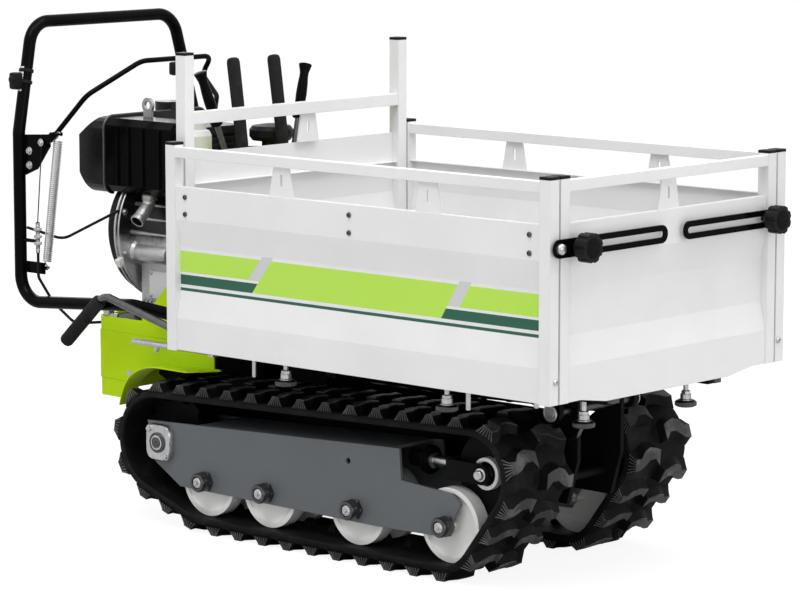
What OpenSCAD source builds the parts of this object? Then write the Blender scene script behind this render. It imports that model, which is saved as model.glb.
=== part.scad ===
// Tracked walk-behind site dumper with a three-way extending load box.
// Units are millimetres, +X is forward, +Y is the machine's left, +Z is up.
// Inside the modules X counts from the box front, Z from the foot of the box posts.

/* [Load box] */

// Outside length of the box
box_l = 980; // [800:5:1200]
// Outside width of the box
box_w = 706; // [600:2:800]
// Height of the corner posts
post_h = 410; // [300:5:500]
// Side of the square post tube
post = 25; // [20:1:40]
// Gap between neighbouring posts of two panels
seam = 5; // [2:0.5:10]
// Thickness of the panel sheet
sheet = 2; // [1.5:0.5:4]
// Depth of the pressed recess in a panel
press_d = 11; // [6:1:20]
// Height of the headboard posts
head_h = 583; // [450:1:700]
// Foot of the box posts above the ground
box_z = 384; // [340:1:440]

/* [Panel levels] */

// Top edge of the panel sheet above the post foot
panel_top = 325; // [250:1:380]
// Top of the panel rail
rail_top = 402; // [340:1:480]
// Height of the panel rail
rail_h = 20; // [12:1:30]
// Upper edge of the pressed recess
press_hi = 260; // [200:1:300]
// Lower edge of the pressed recess
press_lo = 65; // [40:1:120]
// Height of each slope of the recess
press_slope = 55; // [20:1:70]

/* [Box slides] */

// Side of the side panel guide tubes
guide = 30; // [24:1:40]
// Wall of the guide tubes
guide_wall = 2.5; // [2:0.5:4]
// Play between bar and guide
guide_play = 0.6; // [0.3:0.1:1.5]
// Spacing of the two guides of a side panel
guide_pitch = 415; // [300:5:500]
// Distance of the gate guides from the middle
gate_guide_y = 154; // [110:1:220]
// Side of the gate guide tubes
gate_guide = 26; // [20:1:32]

/* [Tipping hinge] */

// Hinge axis behind the box front
hinge_back = 187; // [120:1:300]
// Hinge axis below the post foot
hinge_drop = 64; // [50:1:80]
// Radius of the hinge pin
hinge_r = 10; // [7:0.5:14]
// Distance of the hinge lugs from the middle
lug_y = 112; // [98:1:140]
// Play of the pin in the lugs
pin_play = 0.1; // [0.05:0.05:0.5]

/* [Tracks] */

// Width of a rubber track
track_w = 180; // [150:5:230]
// Outside width over both tracks
track_outer = 544; // [480:2:620]
// Thickness of the belt
belt_t = 14; // [10:1:20]
// Height of the tread lugs
lug_h = 18; // [10:1:25]
// Nominal pitch of the tread lugs
lug_pitch = 60; // [50:1:72]
// Radius of the track rollers
roller_r = 72; // [55:1:80]
// Radius of the rear sprocket
sprocket_r = 92; // [75:1:100]
// Radius of the front idler
idler_r = 78; // [60:1:85]
// Play between a wheel and the belt
belt_play = 0.3; // [0.2:0.1:1]

/* [Handlebar] */

// Radius of the handlebar tube
bar_r = 13; // [10:0.5:17]
// Half width of the top grip bar
bar_top_y = 203; // [150:1:260]
// Half width of the legs
bar_leg_y = 256; // [220:1:300]
// Height of the grip bar above the post foot
bar_top_z = 616; // [540:1:680]

/* [Hidden] */

$fn = 48;

// Front of the gate knobs and rear of the handlebar, ahead of the box front
knob_front = 44.5;
bar_x = -1533;

// Shift of everything behind the box when the box length changes
tail = 980 - box_l;
x_shift = (bar_r - bar_x - tail - knob_front) / 2;

half_w = box_w / 2;
track_y = (track_outer - track_w) / 2;
ground = -box_z;

// Swell of a bar at its bends and the lap of the straights into them
bend_swell = 0.1;
bend_lap = 1;

// Wheel centres in the side view, from the box front and the post foot
roller_z = ground + lug_h + belt_t + belt_play + roller_r;
roller_x = [-979 + tail, -808 + tail * 2 / 3, -570 + tail / 3, -333];
sprocket_rear = [-1105, -215];
sprocket_c = sprocket_rear + [tail, 0];
idler_c = [-262, -175];

// Planes of the track frame plates
plate_out = 250;
plate_in = 120;
plate_t = 6;

// Radius of the sprocket bearing's housing
bearing_r = 34;

// Heights of the bed parts
tall_y = half_w - post - seam;
floor_z = 34;
floor_front = -post - seam;
floor_rear = -box_l + post + seam;
tongue_front = -12;
floor_t = 2.5;
guide_z = floor_z - guide;
guide_x = [-box_l / 2 - guide_pitch / 2, -box_l / 2 + guide_pitch / 2];

module at_box() {
    translate([x_shift, 0, box_z]) children();
}

module at_rear() {
    translate([x_shift + tail, 0, box_z]) children();
}

module block(a, b) {
    translate(a) cube(b - a);
}

// Cylinder between two points
module rod(p, q, r) {
    d = q - p;
    l = norm(d);
    translate(p)
        rotate([0, acos(d[2] / l), atan2(d[1], d[0])])
            cylinder(r = r, h = l);
}

module rod_y(x, z, y0, y1, r) {
    translate([x, y1, z])
        rotate([90, 0, 0])
            cylinder(r = r, h = y1 - y0);
}

function unit(v) = v / norm(v);
// Length cut from each leg by a bend of radius br at point i
function cut_len(p, i, br) =
    let (a = unit(p[i - 1] - p[i]), b = unit(p[i + 1] - p[i]))
    br / tan(acos(a * b) / 2);

// Elbow of a round bar at the middle one of three points
module elbow(p0, p1, p2, br, r) {
    a = unit(p0 - p1);
    b = unit(p2 - p1);
    inner = acos(a * b);
    c = p1 + unit(a + b) * br / sin(inner / 2);
    s = p1 + a * br / tan(inner / 2);
    ex = unit(s - c);
    ez = unit(cross(ex, -a));
    ey = cross(ez, ex);
    translate(c)
        rotate([atan2(ey[2], ez[2]), asin(-ex[2]), atan2(ex[1], ex[0])])
            rotate_extrude(angle = 180 - inner)
                translate([br, 0]) circle(r = r);
}

// Round bar bent along a list of points with one bend radius
module bent_bar(p, br, r) {
    n = len(p);
    for (i = [0:n - 2]) {
        d = unit(p[i + 1] - p[i]);
        s = i == 0 ? p[0] : p[i] + d * cut_len(p, i, br);
        e = i == n - 2 ? p[n - 1] : p[i + 1] - d * cut_len(p, i + 1, br);
        rod(i == 0 ? s : s - d * bend_lap, i == n - 2 ? e : e + d * bend_lap, r);
    }
    for (i = [1:n - 2]) elbow(p[i - 1], p[i], p[i + 1], br, r + bend_swell);
}

// Recess of a sheet standing in the XZ plane with its face at y = 0, pressed toward +Y from end to end
module press_core(l, grow) {
    rotate([90, 0, 90])
        linear_extrude(l)
            polygon([
                [-1, press_lo - grow], [grow, press_lo - grow],
                [press_d + grow, press_lo + press_slope - grow],
                [press_d + grow, press_hi - press_slope + grow],
                [grow, press_hi + grow], [-1, press_hi + grow]
            ]);
}

module pressed_sheet(l, z0) {
    difference() {
        union() {
            block([0, 0, z0], [l, sheet, panel_top]);
            block([0, 0, panel_top - sheet], [l, 14, panel_top]);
            intersection() {
                press_core(l, sheet);
                block([0, 0, z0], [l, 100, panel_top]);
            }
        }
        translate([-1, 0, 0]) press_core(l + 2, 0);
    }
}

// Slotted trapezoid tab between sheet and rail, centred on x = 0
module tab(h) {
    rotate([90, 0, 0])
        linear_extrude(3)
            difference() {
                polygon([[-32, 0], [32, 0], [21, h], [-21, h]]);
                translate([0, h / 2 + 2]) square([6, 22], center = true);
            }
}

module box_post(h) {
    cube([post, post, h]);
}

// One side panel, drawn for the right side
module side_panel() {
    inner = box_l - 2 * post;
    translate([-post, -half_w, 0]) box_post(post_h);
    translate([-box_l, -half_w, 0]) box_post(post_h);
    translate([-box_l + post, -half_w + 4, 0]) pressed_sheet(inner, 2);
    block([-box_l + post, -half_w + 2, rail_top - rail_h], [-post, -half_w + 2 + rail_h, rail_top]);
    for (x = [-box_l / 2 - 183, -box_l / 2 + 192])
        translate([x, -half_w + 12, panel_top]) tab(rail_top - rail_h - panel_top);
}

module right_side() {
    color("white") at_box() side_panel();
}

module left_side() {
    color("white") at_box() mirror([0, 1, 0]) side_panel();
}

// Bars that carry a side panel in the guide tubes
module side_bars() {
    s = guide - 2 * guide_wall - 2 * guide_play;
    for (x = guide_x)
        block([x - s / 2, -half_w + 4 + sheet, guide_z + guide_wall + guide_play],
            [x + s / 2, -8, guide_z + guide_wall + guide_play + s]);
}

module right_side_bars() {
    color("silver") at_box() side_bars();
}

module left_side_bars() {
    color("silver") at_box() mirror([0, 1, 0]) side_bars();
}

gate_half = half_w - post - seam;

module front_gate() {
    color("white") at_box() {
        for (s = [-1, 1])
            translate([-post, s > 0 ? gate_half - post : -gate_half, 0]) box_post(post_h);
        w = 2 * (gate_half - post);
        translate([-4, -w / 2, 0]) rotate([0, 0, 90]) pressed_sheet(w, 0);
        translate([-4 - sheet, 0, 0])
            rotate([90, 0, 90])
                linear_extrude(sheet)
                    polygon([[-258, 0], [-186, -11], [186, -11], [258, 0]]);
        block([-2 - rail_h, -w / 2, rail_top - rail_h], [-2, w / 2, rail_top]);
        translate([-12, 0, panel_top]) rotate([0, 0, 90]) tab(rail_top - rail_h - panel_top);
    }
}

gate_bar_s = gate_guide - 2 * guide_wall - 2 * guide_play;
gate_bar_z = guide_z - 1 - gate_guide / 2;
gate_guide_l = 300;
knob_side_y = half_w - 45;
knob_gate_x = -82;

module gate_bars() {
    color("silver") at_box()
        for (s = [-1, 1])
            block([-20 - gate_guide_l, s * gate_guide_y - gate_bar_s / 2, gate_bar_z - gate_bar_s / 2],
                [-4 - sheet, s * gate_guide_y + gate_bar_s / 2, gate_bar_z + gate_bar_s / 2]);
}

link_z = 283;
link_h = 34;
link_t = 4;
link_gap = 5.5;
// Distance of the gate knobs from the box side
knob_edge = 68;
knob_y = half_w - knob_edge;

// Slotted link from a side post to the gate, drawn for the right side
module link_bar() {
    bolt_y = -half_w + link_h / 2 + 0.5;
    slot_r = 6;
    end_y = -25 - link_h / 2;
    translate([link_gap, 0, 0]) rotate([90, 0, 90]) linear_extrude(link_t) difference() {
        union() {
            translate([bolt_y, link_z - link_h / 2]) square([end_y - bolt_y, link_h]);
            translate([bolt_y, link_z]) circle(r = link_h / 2);
            translate([end_y, link_z]) circle(r = link_h / 2);
        }
        translate([-knob_y - slot_r, link_z - slot_r]) square([end_y + knob_y + slot_r, 2 * slot_r]);
        translate([-knob_y - slot_r, link_z]) circle(r = slot_r);
        translate([end_y, link_z]) circle(r = slot_r);
    }
    translate([0.5, bolt_y, link_z]) rotate([0, 90, 0]) cylinder(r = 7.5, h = 16);
}

module right_link() {
    color("dimgray") at_box() link_bar();
}

module left_link() {
    color("dimgray") at_box() mirror([0, 1, 0]) link_bar();
}

flutes = 8;

module gate_knobs() {
    color("dimgray") at_box()
        for (s = [-1, 1])
            translate([-4, s * knob_y, link_z]) rotate([0, 90, 0]) {
                cylinder(r = 5, h = 30);
                translate([0, 0, 14.5]) cylinder(r = 14, h = 10);
                translate([0, 0, 24.5]) difference() {
                    cylinder(r = 27, h = 24);
                    for (k = [0:flutes - 1])
                        rotate([0, 0, k * 360 / flutes]) translate([30, 0, -1]) cylinder(r = 6, h = 26);
                }
            }
}

// Tipping bed: floor with the guides and the hinge lugs
module bed_floor() {
    color("dimgray") at_box() difference() {
        union() {
            block([floor_rear, -half_w + 16, floor_z], [floor_front, half_w - 16, floor_z + floor_t]);
            block([floor_front - 1, -gate_half + post + 8, floor_z],
                [tongue_front, gate_half - post - 8, floor_z + floor_t]);
            for (x = guide_x)
                block([x - guide / 2, -half_w + 12, guide_z], [x + guide / 2, half_w - 12, guide_z + guide]);
            for (y = [-150, 150])
                block([floor_rear, y - 20, guide_z], [-40, y + 20, floor_z]);
            block([-box_l + post + 0.3, -tall_y + 2, guide_z], [floor_rear + 30, tall_y - 2, floor_z + floor_t]);
            for (s = [-1, 1])
                block([-20 - gate_guide_l - 12, s * gate_guide_y - gate_guide / 2, guide_z - gate_guide - 1],
                    [-20, s * gate_guide_y + gate_guide / 2, guide_z]);
            for (s = [-1, 1])
                translate([-hinge_back, s * lug_y + 6, 0]) rotate([90, 0, 0])
                    linear_extrude(12) union() {
                        translate([-18, -hinge_drop]) square([36, hinge_drop + floor_z]);
                        translate([0, -hinge_drop]) circle(r = 18);
                    }
        }
        for (x = guide_x)
            block([x - guide / 2 + guide_wall, -half_w, guide_z + guide_wall],
                [x + guide / 2 - guide_wall, half_w, guide_z + guide - guide_wall]);
        for (s = [-1, 1])
            block([-20 - gate_guide_l - 10, s * gate_guide_y - gate_guide / 2 + guide_wall,
                gate_bar_z - gate_guide / 2 + guide_wall],
                [0, s * gate_guide_y + gate_guide / 2 - guide_wall, gate_bar_z + gate_guide / 2 - guide_wall]);
        rod_y(-hinge_back, -hinge_drop, -200, 200, hinge_r + pin_play);
        for (x = guide_x, s = [-1, 1])
            translate([x, s * knob_side_y, -60]) cylinder(r = 5.2, h = 60 + guide_z + guide_wall);
        for (s = [-1, 1])
            translate([knob_gate_x, s * gate_guide_y, -60])
                cylinder(r = 5.2, h = 60 + gate_bar_z - gate_guide / 2 + guide_wall + 1);
    }
}

// Clamping knob whose stud ends at height top
module clamp_knob(top) {
    translate([0, 0, top - 54]) cylinder(r = 25, h = 13);
    translate([0, 0, top - 41.5]) cylinder(r = 12, h = 15);
    translate([0, 0, top - 28]) cylinder(r = 5, h = 28);
}

module bed_knobs() {
    color("dimgray") at_box() {
        for (x = guide_x, s = [-1, 1])
            translate([x, s * knob_side_y, 0]) clamp_knob(guide_z + guide_wall);
        for (s = [-1, 1])
            translate([knob_gate_x, s * gate_guide_y, 0])
                clamp_knob(gate_bar_z - gate_guide / 2 + guide_wall);
    }
}

module headboard() {
    color("white") at_box() {
        w = 2 * (tall_y - post);
        for (s = [-1, 1])
            translate([-box_l, s > 0 ? tall_y - post : -tall_y, 3]) box_post(head_h - 3);
        translate([-box_l + 6, w / 2, 0]) rotate([0, 0, -90]) pressed_sheet(w, 3);
        block([-box_l + 4, -w / 2, 443], [-box_l + 24, w / 2, 467]);
        block([-box_l + 6, -w / 2, panel_top], [-box_l + 8, w / 2, 385]);
        translate([-box_l + 14, 34, 385]) rotate([0, 0, 90]) tab(58);
    }
}

module lift_handle() {
    foot_y = -tall_y + post + 11;
    grip_y = -bar_leg_y - 2 * bar_r - 5;
    foot_x = -box_l - 0.3;
    color("gray") at_box() {
        block([foot_x - 14, foot_y - 12, 2], [foot_x, foot_y + 12, 34]);
        bent_bar([[foot_x - 8, foot_y, 17], [tail - 1232, grip_y, 77], [tail - 1348, grip_y, -29]], 34, 8);
        rod([tail - 1246.8, grip_y, 63.5], [tail - 1348, grip_y, -29], 13);
    }
}

module latch_rod() {
    y = -cover_half - 59;
    z = guide_z - 18;
    front = -box_l + post + 20;
    color("silver") at_box() {
        rod([tail - 1174, y, z], [front, y, z], 6);
        block([front - 15, y - 9, z - 7], [front, y + 9, guide_z - 0.3]);
    }
}

module hinge_pin() {
    color("silver") at_box() rod_y(-hinge_back, -hinge_drop, -124, 124, hinge_r);
}

// Chassis between the tracks
rail_y = 65;

// Two side rails with hinge towers, cross tubes, a lashing bar and bed rests
module chassis_frame() {
    color("dimgray") at_box() difference() {
        union() {
            for (s = [-1, 1])
                translate([0, s * rail_y + 5, 0]) rotate([90, 0, 0])
                    linear_extrude(10)
                        polygon([
                            [tail - 1300, 4], [tail - 1300, -120], [tail - 1000, -245], [-190, -245], [-165, -160],
                            [-165, -46], [-209, -46], [-225, -100], [tail - 1000, -100], [tail - 1000, 4]
                        ]);
            rod_y(-210, -200, -60, 60, 9);
            for (x = [-420, -760 + tail / 2])
                rod_y(x, -225, -plate_in, plate_in, 17);
            for (s = [-1, 1])
                block([tail - 900, s * rail_y - 20, -100], [tail - 840, s * rail_y + 20, guide_z - 2]);
        }
        rod_y(-hinge_back, -hinge_drop, -200, 200, hinge_r);
        rod_y(sprocket_c[0], sprocket_c[1], -200, 200, 40);
    }
}

module gearbox() {
    color("dimgray") at_rear() {
        block([-1180, -59, -300], [-1030, 59, -110]);
        rod_y(sprocket_rear[0], sprocket_rear[1], -plate_in + 0.3, plate_in - 0.3, 30);
    }
}

// Outward normal angles of the straight runs of a track loop
wheel_c = [[roller_x[0], roller_z], [roller_x[3], roller_z], idler_c, sprocket_c];
wheel_r = [roller_r + belt_play, roller_r + belt_play, idler_r + belt_play, sprocket_r + belt_play];

function run_angle(i) =
    let (j = (i + 1) % 4, d = wheel_c[j] - wheel_c[i])
    atan2(d[1], d[0]) - acos((wheel_r[i] - wheel_r[j]) / norm(d));
function turn(i) =
    let (t = run_angle(i) - run_angle((i + 3) % 4))
    t < 0 ? t + 360 : t >= 360 ? t - 360 : t;
function on_wheel(i, a, h) = wheel_c[i] + (wheel_r[i] + h) * [cos(a), sin(a)];
function run_len(i) =
    norm(on_wheel((i + 1) % 4, run_angle(i), 0) - on_wheel(i, run_angle(i), 0));
function arc_len(i) = turn(i) * PI / 180 * (wheel_r[i] + belt_t / 2);
function part_len(k) = k % 2 == 0 ? arc_len(floor(k / 2)) : run_len(floor(k / 2));
function start_of(k) = k == 0 ? 0 : start_of(k - 1) + part_len(k - 1);
starts = [for (k = [0:8]) start_of(k)];
loop_l = starts[8];
lug_n = round(loop_l / lug_pitch);
pitch = loop_l / lug_n;

// Point of the loop at distance s, height h above the inner face
function loop_at(s, h) =
    let (t = s - floor(s / loop_l) * loop_l,
        k = [for (i = [0:7]) if (t >= starts[i] && t < starts[i + 1]) i][0],
        i = floor(k / 2), u = t - starts[k])
    k % 2 == 0
        ? on_wheel(i, run_angle((i + 3) % 4) + u / (wheel_r[i] + belt_t / 2) * 180 / PI, h)
        : let (a = run_angle(i)) on_wheel(i, a, h) + u * [-sin(a), cos(a)];

steps = 6;
function ring_points(h) = [for (k = [0:lug_n * steps - 1]) loop_at(k * pitch / steps, h)];
function lug_points(phase) = [
    for (k = [0:lug_n - 1])
        let (s = (k + phase) * pitch)
        each [
            loop_at(s, belt_t), loop_at(s + pitch * 0.16, belt_t + lug_h),
            loop_at(s + pitch * 0.40, belt_t + lug_h), loop_at(s + pitch * 0.56, belt_t),
            loop_at(s + pitch * 0.78, belt_t)
        ]
];

module loop_slab(points, y0, y1) {
    translate([0, y1, 0])
        rotate([90, 0, 0])
            linear_extrude(y1 - y0)
                difference() {
                    polygon(points);
                    polygon(ring_points(0));
                }
}

module track() {
    y = -track_y;
    loop_slab(ring_points(belt_t), y - track_w / 2, y + track_w / 2);
    loop_slab(lug_points(0), y - track_w / 2, y - 10);
    loop_slab(lug_points(0.5), y + 10, y + track_w / 2);
}

module right_track() {
    color("black") at_box() track();
}

module left_track() {
    color("black") at_box() mirror([0, 1, 0]) track();
}

axle_r = 10;

// Side plates, flange and sprocket bearing of one track frame
module track_frame() {
    outline = [
        [tail - 1147, -175], [-455, -147], [-450, -208], [-322, -217], [-300, -234],
        [-336, roller_z - 22.3], [-506, roller_z - 26.3], [tail - 1053, roller_z - 20.3], [tail - 1124, -258]
    ];
    for (y = [-plate_out, -plate_in - plate_t])
        plate_xz(y, plate_t) difference() {
            polygon(outline);
            for (x = roller_x) translate([x, roller_z]) circle(r = axle_r + 0.1);
            translate(sprocket_c) circle(r = 25);
            translate([-588, -188]) circle(r = 6);
        }
    plate_xz(-plate_out + plate_t, plate_out - plate_in - 2 * plate_t)
        polygon([[tail - 1005, -169.5], [-480, -148.2], [-480, -154], [tail - 1005, -175.5]]);
    plate_xz(-plate_out - 12, 12) difference() {
        translate(sprocket_c) circle(r = bearing_r);
        translate(sprocket_c) circle(r = 20);
    }
}

module right_track_frame() {
    color("slategray") at_box() track_frame();
}

module left_track_frame() {
    color("slategray") at_box() mirror([0, 1, 0]) track_frame();
}

// Wheel as a revolved profile about the Y axis through c, profile in radius and y
module wheel_y(c) {
    translate([c[0], 0, c[1]])
        rotate([-90, 0, 0])
            rotate_extrude() children();
}

roller_out = 242;
roller_in = 132;

// Thickness of a roller rim and width of the slope from rim to dish
rim_t = 10;
dish_slope = 6;

// Dished double roller on a bolt with a nut outside the plate
module roller(c) {
    rim = roller_r - rim_t;
    dish = rim - dish_slope;
    wheel_y(c) polygon([
        [axle_r + 0.1, -225], [24, -225], [34, -216], [dish, -219], [rim, -roller_out], [roller_r, -roller_out],
        [roller_r, -212], [30, -212], [30, -156], [roller_r, -156], [roller_r, -roller_in],
        [rim, -roller_in], [dish, -148], [axle_r + 0.1, -148]
    ]);
    rod_y(c[0], c[1], -276, -plate_in + 6, axle_r);
    rod_y(c[0], c[1], -268, -plate_out - 0.3, 17);
}

module rollers() {
    for (x = roller_x) roller([x, roller_z]);
}

module right_rollers() {
    color("linen") at_box() rollers();
}

module left_rollers() {
    color("linen") at_box() mirror([0, 1, 0]) rollers();
}

sprocket_teeth = 10;
wheel_out = [-208, -196];
wheel_in = [-168, -156];

// Two claw discs that drive the belt beside its guide teeth
module sprocket() {
    difference() {
        for (y = [wheel_out, wheel_in])
            rod_y(sprocket_c[0], sprocket_c[1], y[0], y[1], sprocket_r);
        for (k = [0:sprocket_teeth - 1]) {
            a = k * 360 / sprocket_teeth;
            rod_y(sprocket_c[0] + sprocket_r * cos(a), sprocket_c[1] + sprocket_r * sin(a), -230, -130, 14);
        }
    }
    rod_y(sprocket_c[0], sprocket_c[1], wheel_out[1] - 1, wheel_in[0] + 1, 40);
    rod_y(sprocket_c[0], sprocket_c[1], -258, -plate_in - plate_t - 0.3, 18);
}

module right_sprocket() {
    color("gray") at_box() sprocket();
}

module left_sprocket() {
    color("gray") at_box() mirror([0, 1, 0]) sprocket();
}

module idler() {
    difference() {
        union() {
            for (y = [wheel_out, wheel_in])
                rod_y(idler_c[0], idler_c[1], y[0], y[1], idler_r);
            rod_y(idler_c[0], idler_c[1], -215, -149, 30);
        }
        rod_y(idler_c[0], idler_c[1], -300, -100, axle_r + 0.1);
    }
}

module right_idler() {
    color("gray") at_box() idler();
}

module left_idler() {
    color("gray") at_box() mirror([0, 1, 0]) idler();
}

// Threaded rod and fork that carry the idler
module tensioner() {
    arm_t = 9;
    z0 = idler_c[1] - 18;
    z1 = idler_c[1] + 18;
    block([-385, -226 - arm_t, z0], [-372, -138 + arm_t, z1]);
    for (y = [-226 - arm_t, -138])
        block([-373, y, z0], [-238, y + arm_t, z1]);
    rod([-478, -182, idler_c[1]], [-384, -182, idler_c[1]], 11);
    rod([-436, -182, idler_c[1]], [-430, -182, idler_c[1]], 28);
    rod_y(idler_c[0], idler_c[1], -245, -119, axle_r);
}

module right_tensioner() {
    color("dimgray") at_box() tensioner();
}

module left_tensioner() {
    color("dimgray") at_box() mirror([0, 1, 0]) tensioner();
}

crank_z = 183;
deck_top = 12;
deck_t = 8;
cover_z0 = -150;
cover_z1 = 16;
cover_half = 203;
cover_rear = -1354;
cover_front = -1000;
cover_t = 3;
cover_r = 30;

// Plan of the rear cover, drawn in by the given amount
module cover_plan(inset) {
    r = cover_r - inset;
    x0 = cover_rear + cover_r;
    y0 = cover_half - cover_r;
    translate([x0, -cover_half + inset]) square([cover_front - x0, 2 * (cover_half - inset)]);
    translate([cover_rear + inset, -y0]) square([cover_r, 2 * y0]);
    for (s = [-1, 1]) translate([x0, s * y0]) circle(r = r);
}

module cover_band(z0, z1, inset) {
    translate([0, 0, z0])
        linear_extrude(z1 - z0)
            difference() {
                cover_plan(inset);
                cover_plan(inset + cover_t);
                translate([cover_front - 1, -cover_half]) square([10, 2 * cover_half]);
            }
}

fender_r = 152;
fender_w = 60;

// Mudguard lip over the rear of a track, drawn for the right side
module fender() {
    y0 = -cover_half - fender_w;
    top = sprocket_rear[1] + fender_r;
    intersection() {
        plate_xz(y0, fender_w + 1) {
            intersection() {
                difference() {
                    translate(sprocket_rear) circle(r = fender_r + cover_t);
                    translate(sprocket_rear) circle(r = fender_r);
                }
                translate(sprocket_rear) polygon([[0, 0], [-300, 121], [-300, 300], [0, 300]]);
            }
            translate([sprocket_rear[0] - 1, top]) square([cover_front + 20 - sprocket_rear[0], cover_t]);
        }
        translate([0, 0, -300]) linear_extrude(400)
            polygon([
                [-1300, -cover_half + 1], [-1260, -cover_half - 26], [-1200, -cover_half - 50], [-1150, y0], [-1020, y0],
                [cover_front + 19, -cover_half - 4], [cover_front + 19, -cover_half + 1]
            ]);
    }
}

module rear_cover() {
    arch = fender_r + 1;
    color("yellowgreen") at_rear() {
        difference() {
            union() {
                cover_band(cover_z0, -112, 2);
                cover_band(-113, -14, 0);
                cover_band(-15, cover_z1, 2);
            }
            rod_y(sprocket_rear[0], sprocket_rear[1], -300, 300, arch);
            block([sprocket_rear[0], -300, -300], [-900, 300, sprocket_rear[1] + arch]);
        }
        for (s = [0, 1]) mirror([0, s, 0]) fender();
    }
}

module engine_deck() {
    color("dimgray") at_rear()
        translate([0, 0, deck_top - deck_t])
            linear_extrude(deck_t) intersection() {
                cover_plan(2 + cover_t + 0.3);
                translate([cover_rear, -cover_half]) square([cover_front - 2 - cover_rear, 2 * cover_half]);
            }
}

head_x = [-1300, -1185];
head_y = [-62, 72];
head_z = [290, 405];
flywheel_r = 150;
case_r = 116;
flange_x = -1345;
fin_n = 7;

module engine_block() {
    color("silver") at_rear() {
        block([-1322, -96, deck_top + 0.3], [-1126, 96, 120]);
        for (s = [-1, 1])
            block([-1310, s > 0 ? 90 : -130, deck_top + 0.3], [-1140, s > 0 ? 130 : -90, 26]);
        translate([flange_x + 13, 0, crank_z]) rotate([0, 90, 0]) cylinder(r = case_r, h = 200);
        translate([flange_x, 0, crank_z]) rotate([0, 90, 0]) cylinder(r = flywheel_r, h = 14);
        block([head_x[0] + 8, head_y[0] + 8, 270], [head_x[1] - 8, head_y[1] - 8, head_z[1] - 8]);
        for (k = [0:fin_n - 1]) {
            z = head_z[0] + 10 + k * 13;
            block([head_x[0], head_y[0], z], [head_x[1], head_y[1], z + 4]);
        }
        block([head_x[0], head_y[0], head_z[1] - 16], [head_x[1], head_y[1], head_z[1]]);
    }
}

vents = 12;

// Domed starter housing with a ring of cooling slots
module recoil_starter() {
    depth = 58;
    color("dimgray") at_rear()
        translate([flange_x - 0.3, 0, crank_z]) rotate([0, -90, 0]) difference() {
            rotate_extrude()
                polygon([
                    [0, 0], [flywheel_r - 5, 0], [flywheel_r - 7, 26], [flywheel_r - 24, 46], [92, 50],
                    [86, depth], [0, depth]
                ]);
            for (k = [0:vents - 1])
                rotate([0, 0, k * 360 / vents]) translate([44, -5, depth - 12]) cube([34, 10, 20]);
        }
}

tank_y = 150;
tank_x = [-1451, -1371];
tank_z = [263, 424];

// Fuel tank over the starter, with broken edges all round
module fuel_tank() {
    color("dimgray") at_rear() {
        difference() {
            intersection() {
                translate([0, tank_y, 0]) rotate([90, 0, 0]) linear_extrude(2 * tank_y)
                    polygon([
                        [tank_x[0], tank_z[0] + 40], [tank_x[0], tank_z[1] - 42], [tank_x[0] + 50, tank_z[1] - 4],
                        [tank_x[0] + 62, tank_z[1]], [tank_x[1], tank_z[1]], [tank_x[1], tank_z[0]],
                        [tank_x[0] + 28, tank_z[0]]
                    ]);
                translate([tank_x[0] - 1, 0, 0]) rotate([90, 0, 90]) linear_extrude(200)
                    polygon([for (s = [[1, 0], [1, 1], [-1, 1], [-1, 0]])
                        each [for (k = [0:5]) corner_point(s, k)]]);
            }
            translate([flange_x - 80, 0, crank_z]) rotate([0, 90, 0]) cylinder(r = flywheel_r + 0.3, h = 90);
        }
        translate([(tank_x[0] + tank_x[1]) / 2 + 14, 60, tank_z[1] - 1]) cylinder(r = 30, h = 19);
    }
}

tank_round = 26;
// Points of a rounded rectangle in y and z, corner by corner
function corner_point(s, k) =
    let (a0 = s == [1, 0] ? -90 : s == [1, 1] ? 0 : s == [-1, 1] ? 90 : 180, a = a0 + k * 18)
    [s[0] * (tank_y - tank_round) + tank_round * cos(a),
        (s[1] > 0 ? tank_z[1] - tank_round : tank_z[0] + tank_round) + tank_round * sin(a)];

muffler_x = [-1370.7, -1177];
muffler_y = [-150, -70];
muffler_z = [268, 421];
rib_x = [-1333, -1300, -1258, -1209];

// Silencer in its ribbed guard beside the cylinder head
module muffler() {
    color("dimgray") at_rear() {
        difference() {
            translate([muffler_x[0], 0, 0]) rotate([90, 0, 90]) linear_extrude(muffler_x[1] - muffler_x[0])
                polygon([
                    [muffler_y[0], muffler_z[0] + 14], [muffler_y[0] + 14, muffler_z[0]],
                    [muffler_y[1], muffler_z[0]], [muffler_y[1], muffler_z[1]],
                    [muffler_y[0] + 14, muffler_z[1]], [muffler_y[0], muffler_z[1] - 14]
                ]);
            translate([muffler_x[0] - 1, 0, crank_z]) rotate([0, 90, 0])
                cylinder(r = flywheel_r + 0.3, h = flange_x + 14.3 - muffler_x[0] + 1);
            translate([muffler_x[0] - 1, 0, crank_z]) rotate([0, 90, 0]) cylinder(r = case_r + 0.3, h = 300);
        }
        for (x = rib_x)
            block([x - 3, muffler_y[0] - 4, muffler_z[0] + 16], [x + 3, muffler_y[0] + 1, muffler_z[1] - 16]);
    }
}

// Exhaust stub: flanged collar, ball knee and open outlet
module exhaust() {
    top = [-1262, -128, muffler_z[0] - 0.3];
    knee = [top[0], top[1], 236];
    outlet = [-1256, -173, 216];
    d = unit(outlet - knee);
    color("silver") at_rear() difference() {
        union() {
            rod(top, knee, 15);
            rod(top, top - [0, 0, 10], 21);
            translate(knee) sphere(r = 16);
            rod(knee, outlet, 15);
        }
        rod(knee + 34 * d, outlet + d, 12);
    }
}

module lifting_eye() {
    thick = 6;
    eye = [-1307, muffler_y[1] - 20, 447];
    color("silver") at_rear() plate_xz(eye[1], thick) difference() {
        union() {
            translate([eye[0], eye[2]]) circle(r = 16);
            translate([eye[0] - 12, muffler_z[1] + 0.3]) square([24, eye[2] - muffler_z[1]]);
        }
        translate([eye[0], eye[2]]) circle(r = 8);
    }
}

filter_c = [-1128, 95];

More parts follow.
